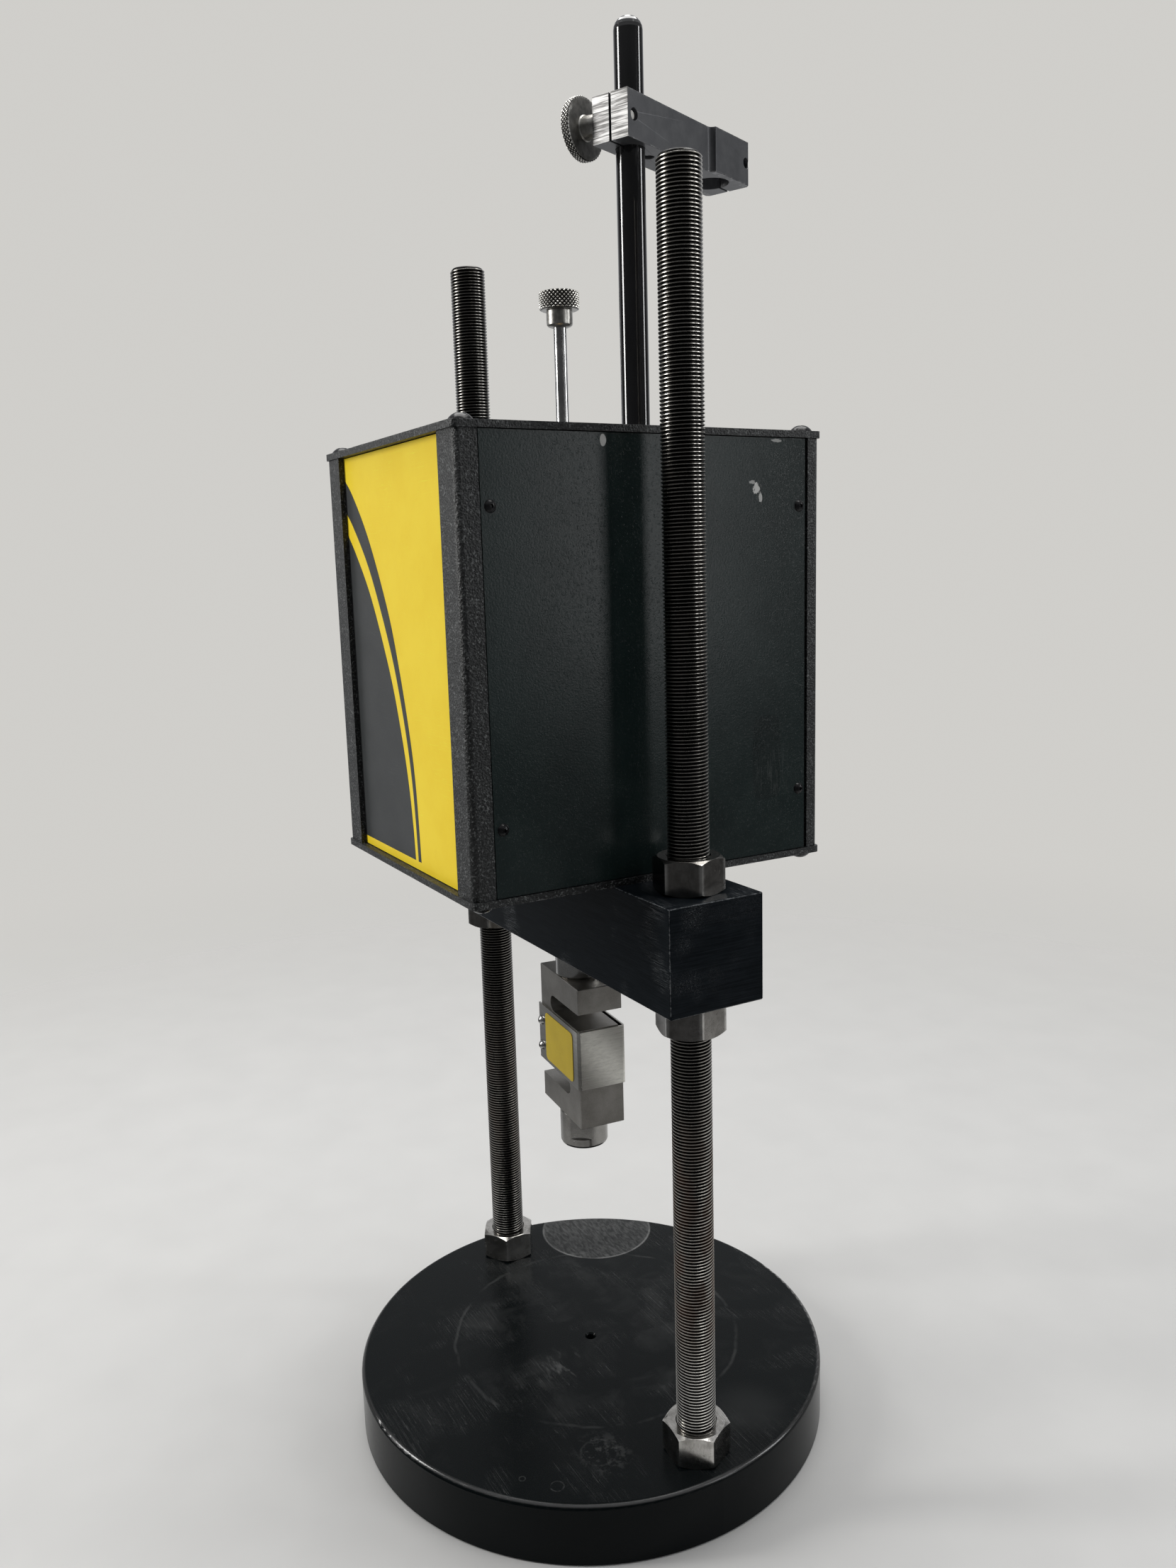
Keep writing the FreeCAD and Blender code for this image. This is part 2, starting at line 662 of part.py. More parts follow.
strip = fuse([box(50.0, 52.0, 15.0, 37.0, cover_z, 470.0), box(42.0, 52.0, 15.0, 24.0, cover_z, cover_z + 2.0)])
switch_z = (394.0, 451.0)
for z in switch_z:
    strip = cut(strip, [rod(1.3, (48, 26.0, z + dz), (1, 0, 0), 6) for dz in (3.0, 13.0)])
save("switch_bracket", strip)
switches = []
for z in switch_z:
    case = box(43.7, 50.0, 16.0, 36.0, z, z + 16.0)
    case = cut(case, [rod(1.3, (40, 26.0, z + dz), (1, 0, 0), 12) for dz in (3.0, 13.0)])
    switches.append(case.fuse(box(42.9, 43.9, 19.0, 33.0, z + 6.5, z + 8.5)).removeSplitter())
save("limit_switches", Part.makeCompound(switches))

# ---------------------------------------------------------------- control board on the left panel
board_x = -case_x + side_t + 5.0
pcb = box(board_x, board_x + 1.6, -16.0, 70.0, 346.0, 498.0)
blocks = [
    (3.5, -4.0, 12.0, 436.0, 452.0), (2.4, 22.0, 40.0, 430.0, 450.0), (2.0, 28.0, 36.0, 402.0, 410.0),
    (9.0, 48.0, 67.0, 400.0, 470.0), (8.5, -10.0, 6.0, 362.0, 372.0), (6.5, 18.0, 48.0, 352.0, 360.0),
]
for h, y0, y1, z0, z1 in blocks:
    pcb = pcb.fuse(box(board_x + 1.5, board_x + 1.6 + h, y0, y1, z0, z1))
for y, z in ((8.0, 392.0), (8.0, 412.0), (28.0, 474.0)):
    pcb = pcb.fuse(rod(5.0, (board_x + 1.5, y, z), (1, 0, 0), 9.0))
for k in range(4):
    pcb = pcb.cut(box(board_x + 4.0, board_x + 12.0, 50.5 + 4 * k, 52.5 + 4 * k, 399.0, 471.0))
pcb = cut(pcb, [rod(1.6, (board_x - 1, y, z), (1, 0, 0), 4) for y, z in board_pads])
save("control_board", pcb)
spacers = []
for y, z in board_pads:
    s = hexagon(5.0, 0, 5.0, 0).fuse(cyl(1.5, 4.8, 7.4)).removeSplitter()
    spacers.append(move(to_plus_x(s), -case_x + side_t, y, z))
save("board_spacers", Part.makeCompound(spacers))

# ---------------------------------------------------------------- load cell
half = cell_w / 2
ht = cell_t / 2
sr = cell_slot_h / 2
slot_up_z = cell_z1 - cell_arm_h - sr
slot_low_z = cell_z0 + cell_arm_h + sr
beam = box(-half, half, -ht, ht, cell_z0, cell_z1)
beam = beam.makeChamfer(0.35, beam.Edges)


def slot(z, sign):
    # open at the side named by the sign, round at its inner end
    end = -sign * (cell_slot_end - sr)
    far = sign * (half + 1)
    s = box(min(end, far), max(end, far), -ht - 1, ht + 1, z - sr, z + sr)
    return s.fuse(rod(sr, (end, -ht - 1, z), (0, 1, 0), 2 * ht + 2))


beam = cut(beam, [
    slot(slot_up_z, 1),
    slot(slot_low_z, -1),
    box(-half + 4.4, half + 1, ht - 2.4, ht + 1, slot_low_z + sr - 0.3, slot_up_z - sr + 0.3),
    rod(8.0, (0, -ht - 1, (cell_z0 + cell_z1) / 2), (0, 1, 0), 5.0),
    cyl(stud_r + 0.05, cell_z1 - cell_arm_h - 1, cell_z1 + 1),
    cyl(stud_r + 0.05, cell_z0 - 1, cell_z0 + cell_arm_h + 1),
])
for z in cover_screw_z:
    beam = beam.cut(rod(1.25, (cover_screw_x, -ht - 1, z), (0, 1, 0), 7.0))
    beam = beam.cut(rod(1.25, (cover_screw_x, ht + 1, z), (0, -1, 0), 7.0))
save("load_cell_body", turn(beam, cell_yaw))

fy = ht + 0.05
outer = box(cover_x0, cover_x1, -fy - cover_t, fy + cover_t, cover_z0, cover_z1)
outer = outer.makeFillet(1.5, [e for e in vertical_edges(outer) if e.Vertexes[0].X > half])
core = box(cover_x0 - 1, cover_x1 - cover_t, -fy, fy, cover_z0 - 1, cover_z1 + 1)
core = core.makeFillet(0.6, [e for e in vertical_edges(core) if e.Vertexes[0].X > 0])
cover = outer.cut(core)
for z in cover_screw_z:
    cover = cover.cut(rod(1.45, (cover_screw_x, -ht - 3, z), (0, 1, 0), 2 * ht + 6))
save("load_cell_cover", turn(cover, cell_yaw))

pan = button_screw(5.6, 2.0, 2.4, 6.0, 1.6, 1.0)
group = []
for z in cover_screw_z:
    group.append(move(to_minus_y(pan), cover_screw_x, -fy - cover_t, z))
    group.append(move(to_plus_y(pan), cover_screw_x, fy + cover_t, z))
save("load_cell_cover_screws", turn(Part.makeCompound(group), cell_yaw))

plaque = box(-17.9, 19.4, -fy - cover_t - 0.25, -fy - cover_t, 193.4, 220.0)
across = [e for e in plaque.Edges if e.BoundBox.XLength < 1e-3 and e.BoundBox.ZLength < 1e-3]
plaque = plaque.makeFillet(2.6, across)
save("load_cell_label", turn(plaque, cell_yaw))

studs = [
    cyl(stud_r, cell_z1 - cell_arm_h + 0.2, ram_z0 + 15.0),
    cyl(stud_r, cell_z0 - 9.0, cell_z0 + cell_arm_h - 0.2),
]
save("load_cell_studs", Part.makeCompound(studs))

# ---------------------------------------------------------------- coupling
c0 = coupling_z0
c1 = cell_z0
coupling = revolve([
    (0, c0), (coupling_r - 1.6, c0), (coupling_r - 0.5, c0 + 0.5), (coupling_r, c0 + 1.6),
    (coupling_r, c1 - 0.4), (coupling_r - 0.4, c1), (0, c1),
])
flat = box(coupling_flat, 20, -20, 20, coupling_flat_z, c1 + 1)
coupling = cut(coupling, [
    turn(flat, coupling_flat_angle),
    turn(flat, coupling_flat_angle + 180),
    cyl(stud_r + 0.05, c1 - 9.2, c1 + 1),
    cyl(coupling_tap_r, c0 - 1, c1 - 9.0),
])
save("lower_coupling", coupling)

# ---------------------------------------------------------------- indicator rod and knob
save("indicator_rod", cyl(rod_r, ram_z1 - 12.0, knob_z1 - 2.0))
knob = revolve([
    (0, knob_z0), (knob_hub_r - 2.2, knob_z0), (knob_hub_r - 0.6, knob_z0 + 0.7), (knob_hub_r, knob_z0 + 1.6),
    (knob_hub_r, knob_head_z), (knob_head_r - 0.5, knob_head_z), (knob_head_r, knob_head_z + 0.5),
    (knob_head_r, knob_z1 - 0.6), (knob_head_r - 0.6, knob_z1), (0, knob_z1),
])
knob = knob.cut(cyl(rod_r + 0.03, knob_z0 - 1, knob_z1 - 1.9))
save("indicator_knob", knob)
guide_bush = revolve([
    (rod_r + 0.05, top_z0 - 4.0), (6.0, top_z0 - 4.0), (6.0, top_z1), (7.6, top_z1), (7.6, top_z1 + 1.2),
    (7.2, top_z1 + 1.6), (rod_r + 0.05, top_z1 + 1.6),
])
save("indicator_bush", guide_bush)

# ---------------------------------------------------------------- transducer post and clamp arm
dome = 5.6
spigot_z = top_z0 - 9.8
profile = [(0, spigot_z), (4.2, spigot_z), (4.7, spigot_z + 0.6), (4.7, top_z1), (post_r, top_z1)]
for k in range(0, 7):
    a = math.radians(15 * k)
    profile.append((post_r - dome + dome * math.cos(a), post_top_z - dome + dome * math.sin(a)))
profile.append((0, post_top_z))
save("transducer_post", move(revolve(profile), post_x, post_y, 0))
lock = hexagon(14.3, top_z0 - 6.4, top_z0, 10).cut(cyl(4.75, top_z0 - 8, top_z0 + 1))
save("post_nut", move(lock, post_x, post_y, 0))

hw = arm_w / 2
hh = arm_head_w / 2
fr = 2.4
notch_x = arm_step - 0.3 - fr
outline = [(-arm_back, hw)]
for k in range(0, 7):
    a = math.radians(15 * k - 90)
    outline.append((notch_x + fr * math.cos(a), hw + fr + fr * math.sin(a)))
outline.append((arm_step, hh))
outline.append((arm_reach - arm_corner, hh))
outline.append((arm_reach, hh - arm_corner))
outline = outline + [(x, -y) for x, y in reversed(outline)]
bracket = prism(outline, arm_z0, arm_z1)
mid = (arm_z0 + arm_z1) / 2
bracket = cut(bracket, [
    cyl(post_r + 0.05, arm_z0 - 1, arm_z1 + 1),
    cyl(arm_bore_r, arm_z0 - 1, arm_z1 + 1, arm_bore_at),
    cyl(arm_relief_r, arm_z0 - 1, arm_z1 + 1, arm_relief_at),
    box(-arm_back - 1, arm_relief_at, -arm_slit / 2, arm_slit / 2, arm_z0 - 1, arm_z1 + 1),
    box(arm_bore_at, arm_reach + 1, -arm_slit / 2, arm_slit / 2, arm_z0 - 1, arm_z1 + 1),
    rod(arm_tap_r + 0.1, (arm_clamp_at, -30, mid), (0, 1, 0), 60),
    rod(arm_tap_r, (arm_set_at, -30, mid), (0, 1, 0), 60),
])
save("transducer_arm", move(turn(bracket, arm_angle), post_x, post_y, 0))

thumb = revolve([
    (0, 0.3), (4.2, 0.3), (4.5, 0.6), (5.0, disc_in - hw), (disc_r - 0.5, disc_in - hw),
    (disc_r, disc_in - hw + 0.5), (disc_r, disc_out - hw - 0.5), (disc_r - 0.5, disc_out - hw),
    (0, disc_out - hw),
])
thumb = thumb.fuse(cyl(arm_tap_r, -arm_w + 1.2, 0.5)).removeSplitter()
thumb = move(to_plus_y(thumb), arm_clamp_at, hw, mid)
save("arm_thumbscrew", move(turn(thumb, arm_angle), post_x, post_y, 0))
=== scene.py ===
import json
import math

import bmesh
import bpy
from mathutils import Matrix, Vector


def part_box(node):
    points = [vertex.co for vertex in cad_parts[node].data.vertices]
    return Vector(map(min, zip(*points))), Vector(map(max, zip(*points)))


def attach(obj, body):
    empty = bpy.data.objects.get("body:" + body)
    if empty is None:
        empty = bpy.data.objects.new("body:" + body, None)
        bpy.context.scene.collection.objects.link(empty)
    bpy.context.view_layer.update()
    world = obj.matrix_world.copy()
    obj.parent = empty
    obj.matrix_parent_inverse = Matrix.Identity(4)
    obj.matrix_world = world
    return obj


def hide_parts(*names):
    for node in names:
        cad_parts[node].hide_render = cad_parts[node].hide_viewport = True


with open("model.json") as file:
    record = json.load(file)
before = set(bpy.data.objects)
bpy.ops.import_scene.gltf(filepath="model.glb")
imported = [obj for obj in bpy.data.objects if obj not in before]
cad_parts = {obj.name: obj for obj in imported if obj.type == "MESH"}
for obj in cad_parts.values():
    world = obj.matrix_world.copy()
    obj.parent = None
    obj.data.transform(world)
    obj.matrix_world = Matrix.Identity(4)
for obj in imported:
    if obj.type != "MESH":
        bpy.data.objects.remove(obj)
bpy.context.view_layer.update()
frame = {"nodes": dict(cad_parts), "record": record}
MM = 0.001
INCH = 25.4
TAU = 2 * math.pi
NODES = frame["nodes"]


# ------------------------------------------------------------------ places and sizes, in millimetres
def mm_box(node):
    """A node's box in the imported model."""
    lo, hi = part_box(node)
    return [c / MM for c in lo], [c / MM for c in hi]


BASE_R, _, BASE_TOP = mm_box("base_plate")[1]
CASE_LO = mm_box("bottom_plate")[0]
CASE_HI = mm_box("top_plate")[1]
PANEL_X = mm_box("side_panel_right")[0][0]
CROSS_LO, CROSS_HI = mm_box("crosshead")
COLUMN_X = sum(mm_box("column_right")[i][0] for i in (0, 1)) / 2
POST_LO, POST_HI = mm_box("transducer_post")
POST_X = (POST_LO[0] + POST_HI[0]) / 2
POST_Y = (POST_LO[1] + POST_HI[1]) / 2
ARM_LO, ARM_HI = mm_box("transducer_arm")
ARM_Z = (ARM_LO[2] + ARM_HI[2]) / 2
CELL_LO, CELL_HI = mm_box("load_cell_body")

# the rest repeats sizes of the part itself
ARM_ANGLE = math.radians(113.1)
CELL_YAW = math.radians(-5.65)
CELL_HALF = (INCH, 12.4)
COLUMN_R = 0.375 * INCH
PITCH = INCH / 16
NUT_FLATS = 1.125 * INCH


# ------------------------------------------------------------------ materials
class Graph:
    """Shorthand for building shader nodes."""

    def __init__(self, tree):
        self.t = tree

    def put(self, socket, value):
        if isinstance(value, bpy.types.NodeSocket):
            self.t.links.new(value, socket)
        elif hasattr(value, "__len__") and len(value) == 3 and socket.type == "RGBA":
            socket.default_value = (*value, 1.0)
        else:
            socket.default_value = value

    def vec(self, op, a, b=None, scale=None):
        n = self.t.nodes.new("ShaderNodeVectorMath")
        n.operation = op
        self.put(n.inputs[0], a)
        if b is not None:
            self.put(n.inputs[1], b)
        if scale is not None:
            n.inputs["Scale"].default_value = scale
        return n.outputs["Value"] if op in ("LENGTH", "DISTANCE", "DOT_PRODUCT") else n.outputs[0]

    def f(self, op, a, b=0.0, c=0.0):
        n = self.t.nodes.new("ShaderNodeMath")
        n.operation = op
        for socket, value in zip(n.inputs, (a, b, c)):
            self.put(socket, value)
        return n.outputs[0]

    def add(self, *values):
        out = values[0]
        for v in values[1:]:
            out = self.f("ADD", out, v)
        return out

    def mul(self, *values):
        out = values[0]
        for v in values[1:]:
            out = self.f("MULTIPLY", out, v)
        return out

    def most(self, *values):
        out = values[0]
        for v in values[1:]:
            out = self.f("MAXIMUM", out, v)
        return out

    def step(self, x, lo, hi, out_lo=0.0, out_hi=1.0):
        """Smooth change from out_lo at lo to out_hi at hi."""
        n = self.t.nodes.new("ShaderNodeMapRange")
        n.interpolation_type = "SMOOTHSTEP"
        values = {"Value": x, "From Min": lo, "From Max": hi, "To Min": out_lo, "To Max": out_hi}
        for key, value in values.items():
            self.put(n.inputs[key], value)
        return n.outputs[0]

    def near(self, x, at, width):
        """1 at x = at, falling to 0 a width away."""
        return self.step(self.f("ABSOLUTE", self.f("SUBTRACT", x, at)), width, 0.0)

    def mix(self, fac, a, b):
        n = self.t.nodes.new("ShaderNodeMix")
        n.data_type = "RGBA"
        self.put(n.inputs[0], fac)
        self.put(n.inputs[6], a)
        self.put(n.inputs[7], b)
        return n.outputs[2]


class Shade(Graph):
    """A Principled material worked out in the object's own millimetres."""

    def __init__(self, name, metallic=0.0, specular=0.5, coat=0.0, coat_rough=0.1, aniso=0.0):
        self.m = bpy.data.materials.new(name)
        self.m.use_nodes = True
        super().__init__(self.m.node_tree)
        self.p = self.t.nodes["Principled BSDF"]
        self.p.inputs["Metallic"].default_value = metallic
        self.p.inputs["Specular IOR Level"].default_value = specular
        self.p.inputs["Coat Weight"].default_value = coat
        self.p.inputs["Coat Roughness"].default_value = coat_rough
        self.p.inputs["Anisotropic"].default_value = aniso
        coord = self.t.nodes.new("ShaderNodeTexCoord")
        self.mm = self.vec("SCALE", coord.outputs["Object"], scale=1000.0)
        split = self.t.nodes.new("ShaderNodeSeparateXYZ")
        self.t.links.new(self.mm, split.inputs[0])
        self.x, self.y, self.z = split.outputs
        self.bumped = None

    def stretch(self, scale, turn=(0, 0, 0), shift=(0, 0, 0)):
        """The place in millimetres, scaled along the axes, then turned and shifted."""
        n = self.t.nodes.new("ShaderNodeMapping")
        self.t.links.new(self.mm, n.inputs["Vector"])
        n.inputs["Location"].default_value = shift
        n.inputs["Rotation"].default_value = turn
        n.inputs["Scale"].default_value = scale
        return n.outputs[0]

    def joined(self, a, b, c):
        """One vector from three values."""
        n = self.t.nodes.new("ShaderNodeCombineXYZ")
        for socket, value in zip(n.inputs, (a, b, c)):
            self.put(socket, value)
        return n.outputs[0]

    def noise(self, scale, detail=3.0, rough=0.5, vec=None, distort=0.0):
        n = self.t.nodes.new("ShaderNodeTexNoise")
        self.t.links.new(vec if vec is not None else self.mm, n.inputs["Vector"])
        n.inputs["Scale"].default_value = scale
        n.inputs["Detail"].default_value = detail
        n.inputs["Roughness"].default_value = rough
        n.inputs["Distortion"].default_value = distort
        return n.outputs[0]

    def cells(self, scale):
        n = self.t.nodes.new("ShaderNodeTexVoronoi")
        self.t.links.new(self.mm, n.inputs["Vector"])
        n.inputs["Scale"].default_value = scale
        return n.outputs["Distance"]

    def scratches(self, turn, along=0.012, across=1.1, width=0.012, shift=(0, 0, 0)):
        """Thin long lines, one direction at a time."""
        v = self.stretch((along, across, across), turn, shift)
        n = self.noise(1.0, 1.0, 0.4, v)
        lines = self.near(n, 0.5, width)
        patches = self.step(self.noise(0.03, 2.0, 0.5), 0.48, 0.62)
        return self.mul(lines, patches)

    def edges(self, lo, hi, width, rag=0.5):
        """Edges of a box from lo to hi, for wear and, on the crosshead, for a painted highlight: 1 on its
        edges, 0 further than about width inside a face.
        """
        gaps = []
        for axis, a, b in zip((self.x, self.y, self.z), lo, hi):
            gap = self.f("ABSOLUTE", self.f("SUBTRACT", axis, (a + b) / 2))
            gaps.append(self.f("SUBTRACT", (b - a) / 2, gap))
        low = self.f("MINIMUM", gaps[0], gaps[1])
        high = self.f("MAXIMUM", gaps[0], gaps[1])
        middle = self.f("MAXIMUM", low, self.f("MINIMUM", high, gaps[2]))
        wobble = self.f("MULTIPLY_ADD", self.noise(0.6, 4.0, 0.6), 2 * rag * width, -rag * width)
        return self.step(self.f("ADD", middle, wobble), width, width * 0.35)

    def bump(self, height, depth_mm):
        n = self.t.nodes.new("ShaderNodeBump")
        n.inputs["Distance"].default_value = depth_mm * MM
        n.inputs["Strength"].default_value = 1.0
        self.t.links.new(height, n.inputs["Height"])
        if self.bumped is not None:
            self.t.links.new(self.bumped, n.inputs["Normal"])
        self.bumped = n.outputs[0]
        self.t.links.new(self.bumped, self.p.inputs["Normal"])

    def done(self, colour, rough):
        self.put(self.p.inputs["Base Color"], colour)
        self.put(self.p.inputs["Roughness"], rough)
        return self.m


def plain_metal(name, dark, light, rough, grain=(1, 1, 1), depth=0.01, metallic=1.0, specular=0.5):
    """Machined or ground metal: fine directional grain, faint stains."""
    s = Shade(name, metallic, specular)
    lines = s.noise(1.6, 4.0, 0.7, s.stretch(grain))
    stain = s.noise(0.09, 3.0, 0.6)
    s.bump(lines, depth)
    colour = s.mix(s.step(s.add(s.mul(lines, 0.5), s.mul(stain, 0.5)), 0.3, 0.7), dark, light)
    dull = s.add(s.mul(stain, 0.6), s.mul(lines, 0.4))
    return s.done(colour, s.step(dull, 0.25, 0.75, rough * 0.75, rough * 1.3))


def knurled_material(name, point, direction, radius, depth):
    """Stainless steel with painted shade in its knurl grooves, between radius - depth and radius about an
    axis, and a painted highlight on the crests.
    """
    s = Shade(name, metallic=1.0)
    away = s.vec("CROSS_PRODUCT", s.vec("SUBTRACT", s.mm, point), direction)
    radial = s.vec("LENGTH", away)
    crest = s.step(radial, radius - depth * 0.72, radius - depth * 0.42)
    outside = s.step(radial, radius - depth - 0.25, radius - depth - 0.05)
    groove_shade = s.mul(s.f("SUBTRACT", 1.0, crest), outside)
    stain = s.noise(0.3, 3.0, 0.6)
    s.bump(s.noise(2.0, 3.0), 0.005)
    colour = s.mix(s.step(stain, 0.35, 0.65), (0.34, 0.33, 0.31), (0.52, 0.51, 0.48))
    # painted highlight: the crests near white
    colour = s.mix(s.mul(crest, 0.95), colour, (0.95, 0.93, 0.87))
    # painted shade: the grooves near black
    colour = s.mix(s.mul(groove_shade, 0.96), colour, (0.012, 0.011, 0.010))
    return s.done(colour, s.add(0.27, s.mul(stain, 0.12)))


def base_material():
    """Black enamel with a worn ring, smears, scratches and one rubbed round patch on its top."""
    s = Shade("base_black", specular=0.09)
    top = s.step(s.z, BASE_TOP - 0.25, BASE_TOP - 0.05)

    def spot(x, y):
        """Distance from the upright line through (x, y)."""
        return s.vec("LENGTH", s.vec("MULTIPLY", s.vec("SUBTRACT", s.mm, (x, y, 0)), (1, 1, 0)))

    grain = s.noise(2.2, 4.0, 0.65)
    cloud = s.noise(0.035, 4.0, 0.62, distort=0.6)
    fine = s.noise(0.5, 5.0, 0.7)
    wobble = s.mul(s.f("SUBTRACT", s.noise(0.05, 2.0), 0.5), 5.0)
    # a worn ring and the haze inside it
    worn_r = 79.0
    ring_r = s.add(spot(-3, 5), wobble)
    ring = s.mul(s.near(ring_r, worn_r, 1.5), s.step(s.noise(0.04, 3.0, 0.6), 0.38, 0.6))
    inner = s.mul(s.step(ring_r, worn_r, worn_r - 5.0), s.step(cloud, 0.42, 0.72))
    # a rubbed disc that runs off the edge, with a brighter outline
    disc_r = 34.6
    from_disc = s.add(spot(-96, 59), s.mul(wobble, 0.15))
    brushed = s.noise(0.35, 5.0, 0.75, s.stretch((0.5, 1.6, 1.0), (0, 0, 0.7)))
    patch = s.mul(s.step(from_disc, disc_r + 0.6, disc_r - 0.4), s.step(brushed, 0.38, 0.66, 0.25, 1.0))
    arc = s.mul(s.near(from_disc, disc_r, 1.0), s.step(cloud, 0.35, 0.6, 0.3, 1.4))
    # small rings, a soft light spot, a wiped streak, a smudge and scratches
    small = s.mul(s.near(spot(82, -42), 9.0, 0.9), 0.6)
    small = s.most(s.near(spot(91, -70), 3.2, 0.5), s.near(spot(78, -82), 1.5, 0.4), small)
    small = s.mul(small, s.step(fine, 0.35, 0.65))
    glow = s.step(spot(95, 38), 26.0, 4.0)
    wiped = s.noise(0.12, 4.0, 0.7, s.stretch((0.35, 1.0, 1.0), (0, 0, 0.5)))
    streak = s.mul(s.step(spot(18, -26), 22.0, 2.0), s.step(wiped, 0.5, 0.66))
    smudge = s.mul(s.step(spot(84, -40), 20.0, 3.0), s.step(s.noise(0.2, 5.0, 0.75), 0.5, 0.64))
    lines = s.most(
        s.scratches((0, 0, 0.35), width=0.006), s.scratches((0, 0, 1.2), width=0.004, shift=(31, 7, 0)),
        s.scratches((0, 0, -0.6), width=0.004, shift=(5, 77, 0)),
    )
    haze = s.add(
        s.mul(inner, 0.05), s.mul(ring, 0.15), s.mul(patch, 0.40), s.mul(arc, 0.6), s.mul(small, 0.22),
        s.mul(glow, 0.06), s.mul(streak, 0.42), s.mul(smudge, 0.24), s.mul(lines, 0.36),
        s.mul(s.step(cloud, 0.5, 0.8), 0.03),
    )
    haze = s.mul(haze, top)
    # the worn and glossy line round the top edge, lighter partly as wear and partly as painted highlight,
    # and chips along the foot
    from_axis = spot(0, 0)
    rim = s.mul(s.near(s.z, BASE_TOP - 0.9, 1.1), s.step(from_axis, BASE_R - 3.5, BASE_R - 1.5))
    rim = s.mul(rim, s.step(s.noise(0.25, 4.0, 0.7), 0.5, 0.68))
    low_chips = s.mul(s.step(s.z, 1.6, 0.4), s.step(s.noise(0.4, 4.0, 0.7), 0.55, 0.7))
    worn = s.f("MINIMUM", s.add(haze, s.mul(rim, 0.04), s.mul(low_chips, 0.12)), 1.0)
    s.bump(grain, 0.012)
    s.bump(s.mul(lines, -1.0), 0.012)
    # a lighter, metallic band on the top edge: partly wear, partly painted highlight
    rim_gloss_and_highlight = s.mul(s.near(s.z, BASE_TOP - 0.6, 0.8), s.step(from_axis, BASE_R - 2.5, BASE_R - 1.0))
    s.put(s.p.inputs["Metallic"], s.mul(rim_gloss_and_highlight, 0.8))
    colour = s.mix(worn, (0.0026, 0.0038, 0.0042), (0.155, 0.156, 0.155))
    colour = s.mix(s.mul(rim_gloss_and_highlight, 0.9), colour, (0.09, 0.09, 0.09))
    rough = s.add(s.step(top, 0.0, 1.0, 0.16, 0.24), s.mul(fine, 0.06), s.mul(worn, 0.35))
    return s.done(colour, rough)


def column_radius(s):
    """Distance from the nearer column's axis."""
    out = s.f("SUBTRACT", s.f("ABSOLUTE", s.x), COLUMN_X)
    return s.f("SQRT", s.add(s.mul(out, out), s.mul(s.y, s.y)))


def column_material():
    """Threaded steel: bright crests over partly rusty grooves, darkened as painted shade."""
    s = Shade("column_steel", metallic=1.0)
    crest = s.step(column_radius(s), COLUMN_R - 0.375, COLUMN_R - 0.105)
    mottled = s.noise(0.12, 4.0, 0.6, s.stretch((1, 1, 0.5)))
    fine = s.noise(1.5, 3.0, 0.6)
    # rust below the crosshead and a trace beside the case, more on the right column
    rust_z = s.mul(s.step(s.z, 75.0, 110.0), s.step(s.z, 232.0, 180.0))
    rust_up = s.mul(s.near(s.z, 430.0, 90.0), 0.22)
    right = s.step(s.x, -10.0, 10.0, 0.35, 1.0)
    rust = s.mul(s.f("MAXIMUM", rust_z, rust_up), right, s.step(mottled, 0.36, 0.6))
    # brighter crests near the foot as painted light, darker on the left column and below the crosshead as
    # painted shade
    low = s.mul(s.step(s.z, 96.0, 60.0), 0.6)
    # near-black grooves: painted shade in the thread's hollows
    steel = s.mix(crest, (0.003, 0.003, 0.003), (0.56, 0.54, 0.50))
    steel = s.mix(s.mul(s.step(fine, 0.4, 0.75), 0.30), steel, (0.12, 0.11, 0.10))
    steel = s.mix(s.mul(low, crest), steel, (0.66, 0.65, 0.62))
    dull = s.add(s.step(s.x, 10.0, -10.0, 0.0, 0.32), s.step(s.z, 330.0, 240.0, 0.0, 0.14))
    steel = s.mix(dull, steel, (0.0, 0.0, 0.0))
    brown = s.mix(crest, (0.022, 0.010, 0.006), (0.11, 0.050, 0.028))
    colour = s.mix(s.mul(rust, s.step(crest, 0.0, 1.0, 0.8, 0.45)), steel, brown)
    s.bump(fine, 0.02)
    return s.done(colour, s.add(0.25, s.mul(mottled, 0.14), s.mul(rust, 0.25), s.mul(crest, -0.06)))


def nut_material(name, dark, light, rough, scuff):
    """Plated hexagon nut: stains, dings, wrench lines and painted highlights on the corners."""
    s = Shade(name, metallic=1.0)
    stain = s.noise(0.16, 4.0, 0.62)
    grain = s.noise(2.0, 3.0, 0.6, s.stretch((1, 1, 0.25)))
    lines = s.most(
        s.scratches((0.4, 0.2, 0.9), 0.05, 1.6, 0.02),
        s.scratches((0.9, 0.6, 0.2), 0.05, 1.4, 0.02, (3, 8, 1)),
    )
    dings = s.step(s.noise(0.55, 3.0, 0.5), 0.62, 0.72)
    s.bump(grain, 0.003)
    s.bump(s.mul(dings, -1.0), 0.02)
    colour = s.mix(s.step(s.add(s.mul(stain, 0.7), s.mul(grain, 0.3)), 0.34, 0.66), dark, light)
    colour = s.mix(s.mul(lines, scuff), colour, (0.9, 0.89, 0.86))
    # painted highlight along the corners
    corner_r = NUT_FLATS / math.sqrt(3)
    radius = column_radius(s)
    corner = s.mul(s.step(radius, corner_r - 0.9, corner_r - 0.2), s.step(stain, 0.3, 0.6, 0.4, 1.0))
    corner = s.mul(corner, s.step(radius, corner_r + 0.9, corner_r + 0.5))
    colour = s.mix(s.mul(corner, 0.6), colour, (0.80, 0.79, 0.76))
    return s.done(colour, s.add(rough * 0.7, s.mul(stain, rough * 0.7), s.mul(dings, 0.08)))


